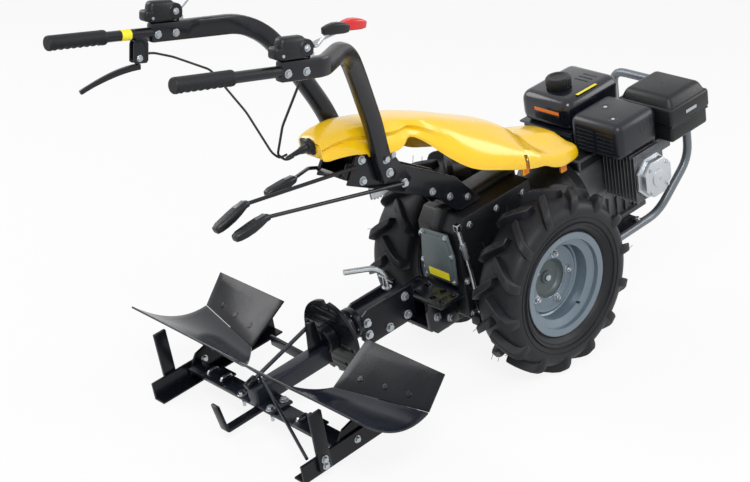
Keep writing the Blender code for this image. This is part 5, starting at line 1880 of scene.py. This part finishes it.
    def build(self, shop: Workshop) -> None:
        """Build the whole plough.

        Args:
            shop: the workshop.
        """
        self.drawbar(shop)
        self.swivel(shop)
        self.beam(shop)
        for label, side in (("left", 1), ("right", -1)):
            self.share(shop, label, side)
            self.mouldboard(shop, label, side)
            self.body(shop, label, side)


# ------------------------------------------------------------------ studio

@dataclass
class Studio:
    """Floor, light and camera.

    Attributes:
        lens: focal length in millimetres on a 36 mm frame.
        turn: the camera's heading, from +Y towards +X.
        drop: how far it looks down.
        eye: the camera's place from the floor under the axle's middle.
    """

    lens: float = 78.72
    turn: float = math.radians(42.1)
    drop: float = math.radians(20.7)
    eye: tuple[float, float, float] = (-3.0151, -2.8426, 1.8622)

    def camera(self, axle: Vector) -> None:
        """Set the camera.

        Args:
            axle: the middle of the wheel axle.
        """
        data = bpy.data.cameras.new("studio_camera")
        data.lens = self.lens
        data.sensor_width = 36.0
        camera = bpy.data.objects.new("studio_camera", data)
        camera.location = Vector(self.eye) + Vector((axle.x, axle.y, 0.0))
        look = Vector((math.sin(self.turn) * math.cos(self.drop),
                       math.cos(self.turn) * math.cos(self.drop), -math.sin(self.drop)))
        camera.rotation_euler = look.to_track_quat("-Z", "Y").to_euler()
        bpy.context.scene.collection.objects.link(camera)
        bpy.context.scene.camera = camera

    def lamp(self, name: str, place: Point, target: Vector, size: float, power: float) -> None:
        """Add a square soft lamp that faces the machine.

        Args:
            name: the lamp's name.
            place: where it stands.
            target: what it faces.
            size: its side's length.
            power: in watts.
        """
        data = bpy.data.lights.new(name, "AREA")
        data.size = size
        data.energy = power
        lamp = bpy.data.objects.new(name, data)
        lamp.location = place
        lamp.rotation_euler = (target - Vector(place)).to_track_quat("-Z", "Y").to_euler()
        bpy.context.scene.collection.objects.link(lamp)

    def seen(self, tree: bpy.types.NodeTree) -> bpy.types.NodeSocket:
        """Mask what the camera sees, straight on, in a reflection or through glass.

        Args:
            tree: the node tree to add to.

        Returns:
            The mask's socket.
        """
        path = tree.nodes.new("ShaderNodeLightPath")
        mask = path.outputs["Is Camera Ray"]
        for ray in ("Is Glossy Ray", "Is Transmission Ray"):
            larger = tree.nodes.new("ShaderNodeMath")
            larger.operation = "MAXIMUM"
            tree.links.new(mask, larger.inputs[0])
            tree.links.new(path.outputs[ray], larger.inputs[1])
            mask = larger.outputs[0]
        return mask

    def floor(self) -> None:
        """Lay a plain white floor that keeps the machine's shadow."""
        mesh = bpy.data.meshes.new("studio_floor")
        reach = 40.0
        mesh.from_pydata([(-reach, -reach, 0.0), (reach, -reach, 0.0), (reach, reach, 0.0),
                          (-reach, reach, 0.0)], [], [(0, 1, 2, 3)])
        floor = bpy.data.objects.new("studio_floor", mesh)
        floor.location.z = -0.0005
        made = bpy.data.materials.new("studio_white")
        made.use_nodes = True
        nodes, links = made.node_tree.nodes, made.node_tree.links
        shader = nodes["Principled BSDF"]
        shader.inputs["Base Color"].default_value = (0.82, 0.82, 0.82, 1.0)
        shader.inputs["Roughness"].default_value = 0.9
        glow = nodes.new("ShaderNodeEmission")
        share = nodes.new("ShaderNodeMath")
        share.operation = "MULTIPLY"
        share.inputs[1].default_value = 0.88
        mix = nodes.new("ShaderNodeMixShader")
        links.new(self.seen(made.node_tree), share.inputs[0])
        links.new(share.outputs[0], mix.inputs[0])
        links.new(shader.outputs[0], mix.inputs[1])
        links.new(glow.outputs[0], mix.inputs[2])
        links.new(mix.outputs[0], nodes["Material Output"].inputs["Surface"])
        mesh.materials.append(made)
        bpy.context.scene.collection.objects.link(floor)

    def sky(self) -> None:
        """Make the world white to the camera and soft to the machine."""
        world = bpy.data.worlds.new("studio_sky")
        world.use_nodes = True
        nodes, links = world.node_tree.nodes, world.node_tree.links
        level = nodes.new("ShaderNodeMapRange")
        level.inputs["To Min"].default_value = 0.42
        level.inputs["To Max"].default_value = 1.0
        links.new(self.seen(world.node_tree), level.inputs["Value"])
        links.new(level.outputs["Result"], nodes["Background"].inputs["Strength"])
        nodes["Background"].inputs["Color"].default_value = (1.0, 1.0, 1.0, 1.0)
        bpy.context.scene.world = world

    def build(self, axle: Vector) -> None:
        """Build the studio round the machine.

        Args:
            axle: the axle's middle in the scene's frame.
        """
        self.camera(axle)
        middle = Vector((0.0, 0.0, 0.45))
        self.lamp("key_lamp", (-2.2, -2.6, 3.6), middle, 2.0, 135.0)
        self.lamp("fill_lamp", (3.4, -2.2, 2.4), middle, 2.2, 60.0)
        self.lamp("rear_lamp", (-1.5, 3.6, 3.0), middle, 2.2, 75.0)
        self.floor()
        self.sky()
        bpy.context.scene.view_settings.view_transform = "Standard"


def main() -> None:
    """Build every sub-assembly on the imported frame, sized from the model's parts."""
    logging.basicConfig(level=logging.INFO, format="%(message)s")
    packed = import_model()
    turnover = next(joint for joint in packed["joints"] if joint["name"] == "plough_turnover")
    pitch = math.atan2(turnover["axis"][2], turnover["axis"][0])
    left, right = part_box("tyre_left"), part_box("tyre_right")
    axle = (left[0] + left[1] + right[0] + right[1]) / 4.0
    shop = Workshop(axle, pitch, packed["nodes"], surface_group())
    Studio().build(axle)
    for side in (1, -1):
        Wheel(side, (left[0].y + left[1].y - right[0].y - right[1].y) / 4.0).build(shop)
    Driveline().build(shop)
    Engine().build(shop)
    Hood().build(shop)
    Column().build(shop)
    Handlebars().build(shop)
    Shifters().build(shop)
    Plough().build(shop)
    for cable in ("cable_clutch", "cable_throttle"):
        shop.dress(cable, PLASTIC)


if __name__ == "__main__":
    main()
